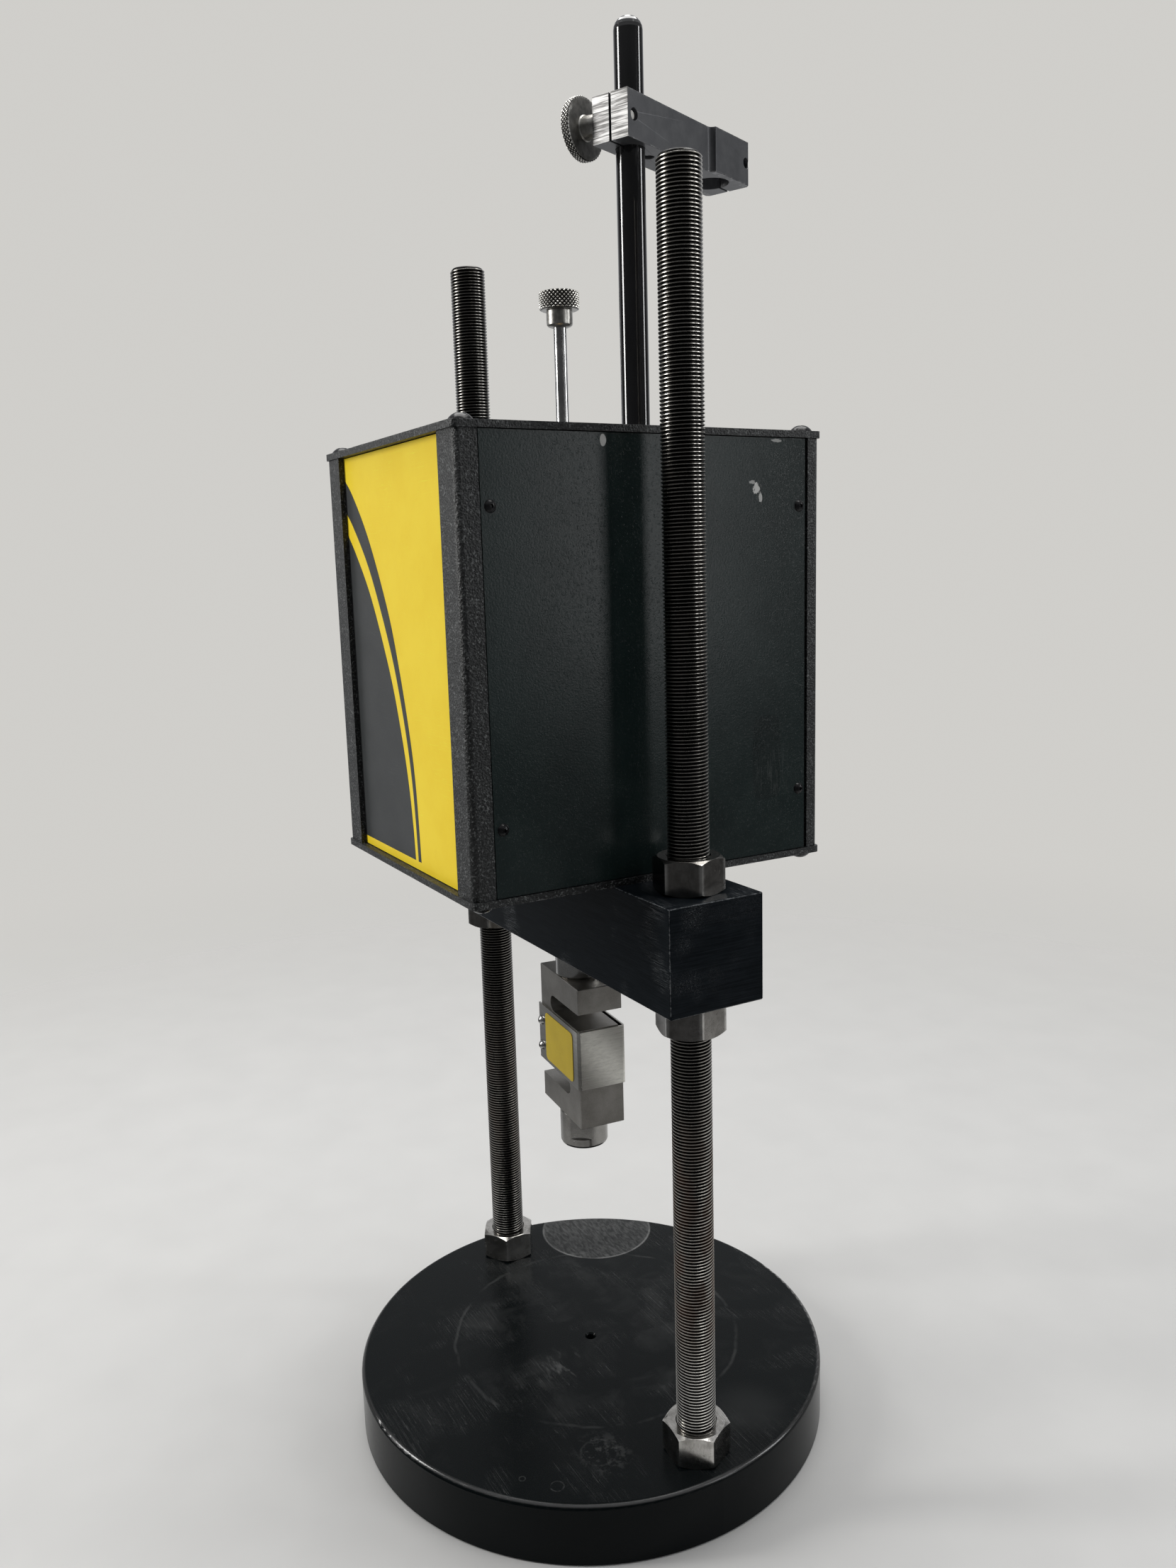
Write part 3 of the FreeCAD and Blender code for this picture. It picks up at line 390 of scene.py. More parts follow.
def crosshead_material():
    """Black finish over brushed sides and milled ends, with painted highlights on the edges, rubbed ends and
    dust on top.
    """
    s = Shade("crosshead_black", specular=0.07)
    brushed = s.noise(1.0, 4.0, 0.7, s.stretch((0.04, 2.2, 2.2)))
    milled = s.noise(1.0, 4.0, 0.7, s.stretch((1.5, 0.05, 2.0)))
    end = s.step(s.f("ABSOLUTE", s.x), CROSS_HI[0] - 0.75, CROSS_HI[0] - 0.55)
    grain = s.add(s.mul(brushed, s.f("SUBTRACT", 1.0, end)), s.mul(milled, end))
    cloud = s.noise(0.05, 4.0, 0.6)
    # painted highlight along the edges
    edge = s.edges(CROSS_LO, CROSS_HI, 0.55, 0.9)
    lines = s.most(
        s.scratches((0, 0.5, 0.1), 0.05, 1.2, 0.02),
        s.scratches((0.8, 0, 0.3), 0.03, 1.3, 0.016, (4, 1, 9)),
        s.mul(s.scratches((1.4, 0.2, 0.1), 0.06, 0.9, 0.02, (8, 2, 5)), 0.8),
    )
    rubbed = s.mul(end, s.step(cloud, 0.45, 0.7))
    s.bump(grain, 0.03)
    s.bump(s.mul(lines, -1.0), 0.015)
    colour = s.mix(s.step(grain, 0.35, 0.7), (0.0014, 0.0030, 0.0046), (0.0080, 0.0110, 0.0142))
    colour = s.mix(s.mul(rubbed, 0.10), colour, (0.020, 0.027, 0.034))
    upward = s.step(s.z, CROSS_HI[2] - 0.3, CROSS_HI[2] - 0.1)
    dust = s.mul(upward, s.step(s.noise(1.1, 4.0, 0.7), 0.62, 0.72), 0.4)
    # tool marks on the front half of the ends
    hatch = s.scratches((0.15, 0.9, 0.1), 0.08, 1.1, 0.02, (3, 5, 2))
    hatch = s.mul(hatch, end, s.step(s.y, 0.0, -16.0), 0.6)
    marks_and_edge_highlight = s.add(s.mul(edge, 0.55), s.mul(lines, s.step(end, 0.0, 1.0, 0.4, 0.12)), dust, hatch)
    colour = s.mix(marks_and_edge_highlight, colour, (0.22, 0.23, 0.24))
    return s.done(colour, s.add(0.26, s.mul(grain, 0.16), s.mul(rubbed, 0.03)))


def wrinkle_material():
    """Charcoal wrinkle paint, darker in its hollows as painted shade, with light specks as painted
    highlights and rubbed outer edges.
    """
    s = Shade("case_charcoal", specular=0.45)
    bumps = s.cells(0.95)
    fine = s.noise(1.7, 3.0, 0.6)
    cloud = s.noise(0.05, 3.0)
    height = s.add(s.mul(bumps, 0.6), s.mul(fine, 0.6))
    edge = s.edges(CASE_LO, CASE_HI, 0.5, 0.8)
    rubbed = s.mul(edge, s.step(s.noise(0.12, 4.0, 0.7), 0.5, 0.62))
    s.bump(height, 0.38)
    # colour follows the relief: painted shade in the hollows
    shade = s.step(s.add(s.mul(height, 0.7), s.mul(cloud, 0.3)), 0.3, 0.8)
    colour = s.mix(shade, (0.003, 0.0036, 0.0038), (0.014, 0.0155, 0.016))
    # light specks: painted highlights on the wrinkles
    highlight_specks = s.step(s.noise(0.95, 3.0, 0.65), 0.54, 0.64)
    highlight_specks = s.mul(highlight_specks, s.step(s.noise(0.2, 2.0), 0.35, 0.6, 0.45, 1.0))
    colour = s.mix(s.mul(highlight_specks, 0.75), colour, (0.15, 0.158, 0.158))
    colour = s.mix(s.mul(rubbed, 0.5), colour, (0.22, 0.22, 0.22))
    return s.done(colour, s.add(0.36, s.mul(fine, 0.14)))


def panel_material():
    """Dark green-grey orange-peel paint; the right panel carries chips, scuffs and a darker square."""
    s = Shade("panel_grey", specular=0.32)
    peel = s.noise(1.1, 2.0, 0.5)
    fine = s.noise(3.2, 2.0, 0.5)
    cloud = s.noise(0.03, 4.0, 0.6)
    right = s.step(s.x, PANEL_X + 0.3, PANEL_X + 1.3)

    def spot(y, z, ry, rz, rag):
        """A ragged oval mark about (y, z)."""
        gap = s.vec("LENGTH", s.vec("MULTIPLY", s.vec("SUBTRACT", s.mm, (0, y, z)), (0, 1 / ry, 1 / rz)))
        ragged = s.mul(s.f("SUBTRACT", s.noise(0.55, 4.0, 0.7), 0.5), rag * 4)
        return s.step(s.add(gap, ragged), 1.05, 0.9)

    chips = s.most(
        spot(-24.7, 511.2, 1.6, 2.6, 0.08), spot(56.9, 491.6, 1.9, 2.0, 0.9),
        s.mul(spot(68.5, 513.2, 3.0, 0.7, 0.4), 0.6), s.mul(spot(59.2, 487.4, 0.9, 2.6, 0.8), 0.8),
        s.mul(spot(54.6, 494.2, 1.6, 0.9, 0.8), 0.6),
    )
    chips = s.mul(chips, right)
    from_scuff = s.vec("LENGTH", s.vec("MULTIPLY", s.vec("SUBTRACT", s.mm, (0, 67, 357)), (0, 1, 1)))
    upright = s.noise(0.35, 2.0, 0.5, s.stretch((1, 1, 0.12), (0.2, 0, 0)))
    scuffs = s.mul(s.step(from_scuff, 17.0, 5.0), s.near(upright, 0.5, 0.05))
    lines = s.mul(s.scratches((1.2, 0.3, 0.4), 0.02, 1.0, 0.012), 0.3)
    pimples = s.step(s.noise(0.9, 3.0, 0.6), 0.56, 0.70)
    s.bump(peel, 0.05)
    s.bump(fine, 0.014)
    s.bump(pimples, 0.025)
    s.bump(s.mul(chips, -1.0), 0.12)
    square = s.mul(s.near(s.y, 62.5, 9.0), s.near(s.z, 365.0, 22.0))
    square = s.mul(s.step(square, 0.0, 0.02), right)
    colour = s.mix(s.step(cloud, 0.3, 0.7), (0.0078, 0.0150, 0.0146), (0.0120, 0.0210, 0.0204))
    colour = s.mix(s.mul(square, 0.35), colour, (0.003, 0.005, 0.005))
    colour = s.mix(s.mul(pimples, 0.25), colour, (0.03, 0.038, 0.037))
    colour = s.mix(s.add(s.mul(scuffs, 0.12), lines), colour, (0.16, 0.165, 0.16))
    colour = s.mix(chips, colour, (0.62, 0.62, 0.60))
    return s.done(colour, s.add(0.19, s.mul(peel, 0.1), s.mul(chips, 0.3)))


def film_material(name, dark, light, rough=0.32):
    """Printed plastic film: faint mottling and a soft pebble."""
    s = Shade(name, specular=0.35, coat=0.1, coat_rough=0.25)
    pebble = s.noise(1.8, 2.0, 0.5)
    cloud = s.noise(0.04, 4.0, 0.6)
    rub = s.mul(s.scratches((0.3, 0.4, 1.0), 0.02, 1.0, 0.014), 0.35)
    s.bump(pebble, 0.016)
    colour = s.mix(s.step(cloud, 0.3, 0.7), dark, light)
    colour = s.mix(rub, colour, [min(1.0, 1.25 * c + 0.03) for c in light])
    return s.done(colour, s.add(rough, s.mul(pebble, 0.1)))


def cell_material():
    """Blasted nickel plate with brighter edges, in the load cell's own turned axes."""
    s = Shade("cell_nickel", metallic=1.0)
    blast = s.noise(2.6, 4.0, 0.7)
    milled = s.noise(1.0, 3.0, 0.6, s.stretch((2.0, 2.0, 0.06)))
    stain = s.noise(0.08, 4.0, 0.6)
    v = s.t.nodes.new("ShaderNodeVectorRotate")
    v.rotation_type = "Z_AXIS"
    s.t.links.new(s.mm, v.inputs["Vector"])
    v.inputs["Angle"].default_value = -CELL_YAW
    split = s.t.nodes.new("ShaderNodeSeparateXYZ")
    s.t.links.new(v.outputs[0], split.inputs[0])
    keep = s.x, s.y
    s.x, s.y = split.outputs[0], split.outputs[1]
    half_w, half_t = CELL_HALF
    edge = s.edges((-half_w, -half_t, CELL_LO[2]), (half_w, half_t, CELL_HI[2]), 0.5, 0.5)
    s.x, s.y = keep
    s.bump(blast, 0.02)
    s.bump(milled, 0.015)
    shade = s.step(s.add(s.mul(stain, 0.6), s.mul(blast, 0.4)), 0.35, 0.65)
    colour = s.mix(shade, (0.20, 0.19, 0.175), (0.29, 0.28, 0.262))
    colour = s.mix(s.mul(edge, 0.4), colour, (0.55, 0.54, 0.52))
    return s.done(colour, s.add(0.34, s.mul(stain, 0.12)))


def cover_material():
    """Brushed sheet steel with a painted sheen across the middle of its outer face."""
    s = Shade("cell_cover", metallic=1.0, aniso=0.4)
    lines = s.noise(1.0, 4.0, 0.7, s.stretch((0.06, 0.06, 3.0)))
    spots = s.noise(0.5, 4.0, 0.7, s.stretch((0.4, 0.4, 1.6)))
    # painted sheen: a light band across the outer face
    painted_sheen = s.mul(s.step(s.x, 10.0, 24.0), s.near(s.add(s.z, s.mul(s.y, 1.2)), 204.0, 24.0))
    painted_sheen = s.mul(painted_sheen, s.step(spots, 0.3, 0.65, 0.6, 1.0))
    s.bump(lines, 0.008)
    colour = s.mix(s.step(lines, 0.3, 0.7), (0.27, 0.265, 0.245), (0.38, 0.37, 0.345))
    colour = s.mix(s.mul(painted_sheen, 0.8), colour, (0.86, 0.85, 0.79))
    return s.done(colour, s.add(0.24, s.mul(spots, 0.1)))


def arm_material():
    """Satin grey-black arm whose clamp end is bare and shows saw lines."""
    s = Shade("arm_black")
    cos, sin = math.cos(ARM_ANGLE), math.sin(ARM_ANGLE)
    along = s.vec("DOT_PRODUCT", s.vec("SUBTRACT", s.mm, (POST_X, POST_Y, 0)), (cos, sin, 0))
    across = s.vec("DOT_PRODUCT", s.vec("SUBTRACT", s.mm, (POST_X, POST_Y, 0)), (-sin, cos, 0))
    bare = s.step(along, -14.2, -14.4)
    grain = s.noise(1.4, 4.0, 0.7)
    cut = s.noise(1.0, 3.0, 0.7, s.joined(s.mul(along, 0.3), s.mul(across, 0.045), s.mul(s.z, 1.15)))
    cloud = s.noise(0.12, 4.0, 0.6)
    half = s.f("SUBTRACT", s.f("ABSOLUTE", s.f("SUBTRACT", s.z, ARM_Z)), 8.9)
    corner = s.mul(s.step(half, -0.2, 0.55), s.step(s.noise(0.5, 4.0, 0.7), 0.46, 0.62))
    side = s.mul(s.step(s.f("ABSOLUTE", across), 8.9, 9.15), s.step(half, -0.3, 0.3), 0.8)
    worn = s.f("MAXIMUM", s.mul(corner, side), s.mul(s.scratches((0.7, 0.2, 0.4), 0.05, 1.2, 0.02), 0.35))
    s.bump(grain, 0.02)
    s.bump(s.mul(cut, bare), 0.06)
    black = s.mix(s.step(cloud, 0.3, 0.7), (0.058, 0.060, 0.066), (0.085, 0.087, 0.092))
    black = s.mix(s.mul(worn, 0.6), black, (0.35, 0.35, 0.35))
    silver = s.mix(s.step(cut, 0.38, 0.62), (0.13, 0.128, 0.125), (0.56, 0.555, 0.55))
    colour = s.mix(bare, black, silver)
    s.put(s.p.inputs["Metallic"], s.add(s.mul(bare, 0.65), 0.35))
    return s.done(colour, s.add(0.34, s.mul(grain, 0.1)))


def post_material():
    """Glossy black rod, rubbed where the arm slides."""
    s = Shade("post_black", specular=0.9)
    fine = s.noise(2.4, 3.0, 0.6, s.stretch((1, 1, 4.0)))
    cloud = s.noise(0.06, 4.0, 0.6, s.stretch((1, 1, 0.3)))
    upright = s.noise(0.5, 4.0, 0.7, s.stretch((1, 1, 0.1)))
    rub = s.mul(s.near(s.z, 640.0, 26.0), s.step(upright, 0.52, 0.66))
    s.bump(fine, 0.006)
    colour = s.mix(s.step(cloud, 0.35, 0.65), (0.0035, 0.0035, 0.004), (0.009, 0.009, 0.010))
    colour = s.mix(s.mul(rub, 0.35), colour, (0.12, 0.12, 0.12))
    return s.done(colour, s.add(0.05, s.mul(cloud, 0.06), s.mul(rub, 0.15)))


def board_material():
    """Green circuit board with tracks; whatever stands off its face is black."""
    s = Shade("board_green", coat=0.4, coat_rough=0.2)
    face_x = -72.0
    flat = s.step(s.x, face_x, face_x + 0.2)
    tracks = s.mul(s.step(s.cells(0.25), 0.4, 0.5), 0.4)
    grain = s.noise(0.8, 3.0)
    s.bump(s.add(tracks, s.mul(grain, 0.3)), 0.03)
    green = s.mix(tracks, (0.008, 0.075, 0.03), (0.03, 0.16, 0.07))
    parts = s.mix(s.step(grain, 0.4, 0.6), (0.02, 0.02, 0.022), (0.05, 0.05, 0.052))
    return s.done(s.mix(flat, green, parts), s.add(0.35, s.mul(grain, 0.15)))


def plastic_material():
    """Black moulded plastic."""
    s = Shade("plastic_black", specular=0.5)
    grain = s.noise(1.9, 3.0, 0.6)
    cloud = s.noise(0.1, 3.0)
    s.bump(grain, 0.03)
    colour = s.mix(s.step(cloud, 0.3, 0.7), (0.012, 0.012, 0.013), (0.022, 0.022, 0.023))
    return s.done(colour, s.add(0.3, s.mul(grain, 0.16)))


# each row: dark and light colour, roughness, grain, bump depth and, where it differs, metallic and specular
PLAIN_METALS = {
    "ram_chrome": ((0.42, 0.415, 0.40), (0.58, 0.575, 0.56), 0.18, (0.3, 0.3, 3.5), 0.004),
    "coupling_steel": ((0.20, 0.195, 0.185), (0.36, 0.35, 0.335), 0.22, (0.3, 0.3, 3.0), 0.006),
    "bearing_steel": ((0.55, 0.55, 0.55), (0.75, 0.75, 0.74), 0.18, (0.4, 0.4, 3.0), 0.008),
    "gear_steel": ((0.22, 0.22, 0.22), (0.36, 0.36, 0.36), 0.32, (1, 1, 1), 0.02),
    "screw_steel": ((0.34, 0.34, 0.33), (0.54, 0.54, 0.53), 0.26, (1, 1, 1), 0.02),
    "screw_black": ((0.006, 0.006, 0.007), (0.016, 0.016, 0.017), 0.20, (1, 1, 1), 0.01, 0.0, 0.22),
    "bronze": ((0.32, 0.20, 0.085), (0.52, 0.36, 0.17), 0.30, (0.3, 0.3, 3.0), 0.02),
    "cast_aluminium": ((0.48, 0.48, 0.48), (0.66, 0.66, 0.66), 0.42, (1, 1, 1), 0.04),
    "motor_black": ((0.015, 0.015, 0.016), (0.035, 0.035, 0.036), 0.45, (1, 1, 1), 0.03, 0.2),
}
LOOKS = {name: plain_metal(name, *row) for name, row in PLAIN_METALS.items()}
LOOKS |= {
    "base_black": base_material(),
    "column_steel": column_material(),
    "nut_bright": nut_material("nut_bright", (0.30, 0.29, 0.27), (0.56, 0.545, 0.52), 0.17, 0.5),
    # the crosshead nuts: plainer steel, darkened further as painted shade
    "nut_dull": nut_material("nut_dull", (0.16, 0.152, 0.142), (0.26, 0.25, 0.235), 0.17, 0.35),
    "crosshead_black": crosshead_material(),
    "case_charcoal": wrinkle_material(),
    "panel_grey": panel_material(),
    "label_yellow": film_material("label_yellow", (0.94, 0.68, 0.022), (0.98, 0.735, 0.034)),
    # the load cell's label: yellow darkened partly for its unmodelled black print, partly as painted shade
    "label_cell": film_material("label_cell", (0.40, 0.29, 0.004), (0.46, 0.335, 0.007), 0.4),
    "cell_nickel": cell_material(),
    "cell_cover": cover_material(),
    "post_black": post_material(),
    "arm_black": arm_material(),
    "board_green": board_material(),
    "plastic_black": plastic_material(),
}
GREY_FILM = film_material("label_grey", (0.036, 0.039, 0.040), (0.046, 0.049, 0.050))

for row in frame["record"]["subparts"]:
    ob = NODES[row["node"]]
    ob.data.materials.clear()
    ob.data.materials.append(LOOKS[row["material_slot"]])


# ------------------------------------------------------------------ mesh helpers
def piece(name, verts, faces, body, slot, replaces=(), sharp=35.0, material=None):
    """A mesh in millimetres that rides on a body and stands for CAD nodes."""
    mesh = bpy.data.meshes.new(name)
    mesh.from_pydata([(x * MM, y * MM, z * MM) for x, y, z in verts], [], faces)
    bm = bmesh.new()
    bm.from_mesh(mesh)
    bmesh.ops.recalc_face_normals(bm, faces=bm.faces)
    bm.to_mesh(mesh)
    bm.free()
    mesh.polygons.foreach_set("use_smooth", [True] * len(mesh.polygons))
    mesh.set_sharp_from_angle(angle=math.radians(sharp))
    ob = bpy.data.objects.new(name, mesh)
    bpy.context.scene.collection.objects.link(ob)
    mesh.materials.append(material or LOOKS[slot])
    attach(ob, body)
    if replaces:
        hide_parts(*replaces)
    return ob


def lathe(profile, segments, radius=None):
    """Surface turned from a profile of (radius, height) points; a point on the axis closes that end.

    radius(r, angle, height) may change a point's radius.
    """
    verts, faces = [], []
    rows = []
    for r, z in profile:
        if r < 1e-6:
            rows.append([len(verts)])
            verts.append((0.0, 0.0, z))
            continue
        start = len(verts)
        for k in range(segments):
            a = TAU * k / segments
            rr = radius(r, a, z) if radius else r
            verts.append((rr * math.cos(a), rr * math.sin(a), z))
        rows.append(list(range(start, start + segments)))
    for a, b in zip(rows, rows[1:]):
        for k in range(segments):
            n = (k + 1) % segments
            if len(a) == 1 and len(b) > 1:
                faces.append((a[0], b[n], b[k]))
            elif len(b) == 1 and len(a) > 1:
                faces.append((a[k], a[n], b[0]))
            elif len(a) > 1 and len(b) > 1:
                faces.append((a[k], a[n], b[n], b[k]))
    return verts, faces


# ------------------------------------------------------------------ threaded columns
def threaded_rod(outer, z0, z1, pitch, chamfer, segments=40):
    """Right-hand 60 degree thread as one helical band, trimmed to z0..z1 with turned chamfers."""
    depth = 0.55 * pitch
    # one turn's outline: part of the pitch, radius
    rows = ((0.02, outer), (0.20, outer), (0.52, outer - depth), (0.70, outer - depth))
    turns = int((z1 - z0) / pitch) + 3
    total = turns * segments
    verts, faces = [], []
    for t in range(total + 1):
        a = TAU * t / segments
        lift = z0 - pitch + pitch * t / segments
        for part, r in rows:
            z = min(max(lift + part * pitch, z0), z1)
            limit = outer - max(0.0, chamfer - (z - z0), chamfer - (z1 - z))
            rr = min(r, limit)
            verts.append((rr * math.cos(a), rr * math.sin(a), z))
    n = len(rows)
    for t in range(total):
        for j in range(n - 1):
            faces.append((t * n + j, (t + 1) * n + j, (t + 1) * n + j + 1, t * n + j + 1))
        if t + segments + 1 <= total:
            far = t + segments
            faces.append((t * n + n - 1, (t + 1) * n + n - 1, (far + 1) * n, far * n))
    bm = bmesh.new()
    made = [bm.verts.new(v) for v in verts]
    for f in faces:
        bm.faces.new([made[i] for i in f])
    bmesh.ops.remove_doubles(bm, verts=bm.verts, dist=0.0005)
    flat = [f for f in bm.faces if f.calc_area() < 1e-7]
    bmesh.ops.delete(bm, geom=flat, context="FACES")
    for z in (z0, z1):
        rim = [v for v in bm.verts if abs(v.co.z - z) < 1e-4 and v.is_boundary]
        rim.sort(key=lambda v: math.atan2(v.co.y, v.co.x))
        if len(rim) > 2:
            bm.faces.new(rim)
    loose = [v for v in bm.verts if not v.link_faces]
    bmesh.ops.delete(bm, geom=loose, context="VERTS")
    bm.verts.ensure_lookup_table()
    bm.verts.index_update()
    out_v = [tuple(v.co) for v in bm.verts]
    out_f = [[v.index for v in f.verts] for f in bm.faces]
    bm.free()
    return out_v, out_f


for side in ("right", "left"):
    lo, hi = mm_box("column_" + side)
    centre = COLUMN_X if side == "right" else -COLUMN_X
    rod_v, rod_f = threaded_rod(COLUMN_R, lo[2], hi[2], PITCH, 1.5, 40)
    rod_v = [(x + centre, y, z) for x, y, z in rod_v]
    piece("threaded_column_" + side, rod_v, rod_f, "base", "column_steel", ["column_" + side])


# ------------------------------------------------------------------ knurled knob and thumbscrew
def knurl(count, pitch, depth, z_lo, z_hi, r_min):
    """Diamond knurl on the points of a lathe whose radius is at least r_min between two heights."""
    def change(r, a, z):
        if r < r_min or z < z_lo or z > z_hi:
            return r
        u = count * a / TAU + z / pitch
        v = count * a / TAU - z / pitch
        tri_u = abs(2 * (u % 1.0) - 1)
        tri_v = abs(2 * (v % 1.0) - 1)
        return r - depth * (1 - min(tri_u, tri_v, 0.85) / 0.85)
    return change


def dense(z0, z1, r, step=0.2):
    """Points close together up a cylinder, so that a knurl has something to move."""
    n = max(2, int(abs(z1 - z0) / step))
    return [(r, z0 + (z1 - z0) * k / n) for k in range(n + 1)]


KNOB_LO, KNOB_HI = mm_box("indicator_knob")
KNOB_R = (KNOB_HI[0] - KNOB_LO[0]) / 2
KNOB_KNURL = 0.8


def knurled_knob():
    """Round head with a diamond knurl on a turned hub."""
    foot, top = KNOB_LO[2], KNOB_HI[2]
    head = top - 8.3
    hub_r = 6.35
    profile = [(3.2, foot), (4.0, foot), (5.6, foot + 0.6), (6.2, foot + 1.2), (hub_r, foot + 2.0)]
    profile += [(hub_r, head - 0.5), (6.1, head - 0.1), (6.1, head)]
    profile += [(KNOB_R - 0.9, head), (KNOB_R - 0.35, head + 0.3)]
    profile += dense(head + 0.6, top - 0.6, KNOB_R)
    profile += [(KNOB_R - 0.35, top - 0.25), (KNOB_R - 0.9, top), (7.2, top), (6.9, top - 0.35)]
    profile += [(2.4, top - 0.35), (0.9, top - 1.1), (0.0, top - 1.3)]
    diamonds = knurl(28, 2.0, KNOB_KNURL, head + 0.55, top - 0.55, KNOB_R - 0.1)
    verts, faces = lathe(profile, 336, diamonds)
    look = knurled_material("knob_steel", (0, 0, 0), (0, 0, 1), KNOB_R, KNOB_KNURL)
    piece("knurled_knob", verts, faces, "ram", "coupling_steel", ["indicator_knob"], 30.0, look)


DISC_R = 13.1
DISC_KNURL = 0.45
# from the post's axis: how far back along the arm the screw lies, and how far across the arm its seat is
SCREW_BACK, SCREW_SEAT = 9.7, 9.2


def knurled_thumbscrew():
    """Turned about its own axis, then laid across the arm."""
    crest_r, root_r, pitch = 2.4, 2.05, 0.8
    profile = [(0.0, -17.2), (1.7, -17.2), (2.25, -16.6)]
    z = -16.4
    while z < -0.6:
        profile += [(crest_r, z), (crest_r, z + 0.12), (root_r, z + 0.4), (root_r, z + 0.55)]
        z += pitch
    profile += [(2.25, 0.3), (4.2, 0.3), (4.5, 0.6), (4.55, 3.0), (5.0, 6.6), (5.4, 7.1)]
    profile += [(DISC_R - 1.6, 7.1), (DISC_R - 0.5, 7.35)] + dense(7.6, 10.6, DISC_R)
    profile += [(DISC_R - 0.5, 10.85), (DISC_R - 1.6, 11.1), (8.6, 11.1), (8.2, 10.7), (3.0, 10.7)]
    profile += [(1.2, 9.8), (0.0, 9.6)]
    turned, faces = lathe(profile, 420, knurl(48, 1.5, DISC_KNURL, 7.55, 10.65, DISC_R - 0.1))
    cos, sin = math.cos(ARM_ANGLE), math.sin(ARM_ANGLE)
    verts = []
    for a, b, c in turned:
        along, across = a - SCREW_BACK, c + SCREW_SEAT
        x = POST_X + along * cos - across * sin
        y = POST_Y + along * sin + across * cos
        verts.append((x, y, ARM_Z - b))
    axis_at = (POST_X - SCREW_BACK * cos, POST_Y - SCREW_BACK * sin, ARM_Z)
    look = knurled_material("thumbscrew_steel", axis_at, (-sin, cos, 0), DISC_R, DISC_KNURL)
    piece("knurled_thumbscrew", verts, faces, "thumbscrew", "coupling_steel", ["arm_thumbscrew"], 30.0, look)


knurled_knob()
knurled_thumbscrew()


# ------------------------------------------------------------------ overlay on the front
def curve_at(knots, t):
    """Smooth line through (x, z) knots by Catmull-Rom."""
    t = min(max(t, 0.0), 0.99999) * (len(knots) - 1)
    i = int(t)
    u = t - i
    p = [Vector(knots[min(max(i + d, 0), len(knots) - 1)]) for d in (-1, 0, 1, 2)]
    slope = p[2] - p[0]
    bend = 2 * p[0] - 5 * p[1] + 4 * p[2] - p[3]
    twist = 3 * p[1] - p[0] - 3 * p[2] + p[3]
    return (2 * p[1] + slope * u + bend * u * u + twist * u ** 3) / 2


FRONT_LO = mm_box("front_label")[0]
LEFT_X = -66.4
FIELD_Z = 321.7
STEPS = 60


def inlay(name, points, proud=0.06):
    """A flat printed field that stands a hair in front of the overlay."""
    y0, y1 = FRONT_LO[1] - proud, FRONT_LO[1] + 0.15
    n = len(points)
    verts = [(x, y0, z) for x, z in points] + [(x, y1, z) for x, z in points]
    faces = [list(range(n)), list(range(2 * n - 1, n - 1, -1))]
    faces += [(k, (k + 1) % n, n + (k + 1) % n, n + k) for k in range(n)]
    return piece(name, verts, faces, "crosshead_unit", "label_yellow", material=GREY_FILM, sharp=20.0)


def curve(*knots):
    """STEPS + 1 points along the smooth line."""
    return [tuple(curve_at(knots, k / STEPS)) for k in range(STEPS + 1)]


# the swept band's two edges and the dark field's edge, as (x, z) from the left side down to the bottom
upper = curve(
    (LEFT_X, 505.4), (-54, 496.7), (-34, 474.7), (-14, 443), (-4, 420), (6, 388.3), (11.8, 360),
    (14.3, FIELD_Z),
)
lower = curve(
    (LEFT_X, 489.6), (-54, 480), (-34, 458.3), (-14, 425.8), (-4, 403.3), (4.3, 376.7), (8.7, 351.7),
    (10.7, FIELD_Z),
)
field = curve(
    (LEFT_X, 479.2), (-54, 468.3), (-34, 445), (-14, 410), (-4, 384.2), (2.7, 360), (6, 338.3),
    (7.2, FIELD_Z),
)
inlay("overlay_band", upper + lower[::-1])
inlay("overlay_field", field + [(LEFT_X, FIELD_Z)])


# ------------------------------------------------------------------ softened edges on the CAD nodes
def soften(names, width):
    """Rounds the sharp edges of CAD nodes by a small bevel."""
    for name in names:
        ob = NODES[name]
        weld = ob.modifiers.new("weld", "WELD")
        weld.merge_threshold = 0.004 * MM
        bevel = ob.modifiers.new("bevel", "BEVEL")
        bevel.width = width * MM
        bevel.segments = 2
        bevel.limit_method = "ANGLE"
        bevel.angle_limit = math.radians(35.0)
        bevel.use_clamp_overlap = True
        bevel.harden_normals = True


soften(["crosshead"], 0.5)
soften(["bottom_plate", "top_plate"], 0.35)
soften(["corner_post_front_right", "corner_post_front_left", "corner_post_rear_right"], 0.35)
soften(["corner_post_rear_left", "load_cell_body", "transducer_arm"], 0.3)


# ------------------------------------------------------------------ camera
CAMERA_AT = (545.857, -297.648, 458.267)


def aim_camera():
    az, el, roll = 1.0597648, 0.1766748, -0.0284306
    d = Vector((-math.sin(az) * math.cos(el), math.cos(az) * math.cos(el), -math.sin(el)))
    right = Vector((math.cos(az), math.sin(az), 0))
    up = right.cross(d)
    r2 = math.cos(roll) * right + math.sin(roll) * up
    u2 = -math.sin(roll) * right + math.cos(roll) * up
    data = bpy.data.cameras.new("camera")
    data.sensor_fit = "HORIZONTAL"
    data.sensor_width = 36.0
    data.lens = 37.338
    data.clip_start = 0.02
    data.clip_end = 30.0
    cam = bpy.data.objects.new("camera", data)
    bpy.context.scene.collection.objects.link(cam)
    turn = Matrix((r2, u2, -d)).transposed()
    cam.matrix_world = Matrix.Translation(Vector(CAMERA_AT) * MM) @ turn.to_4x4()
    bpy.context.scene.camera = cam


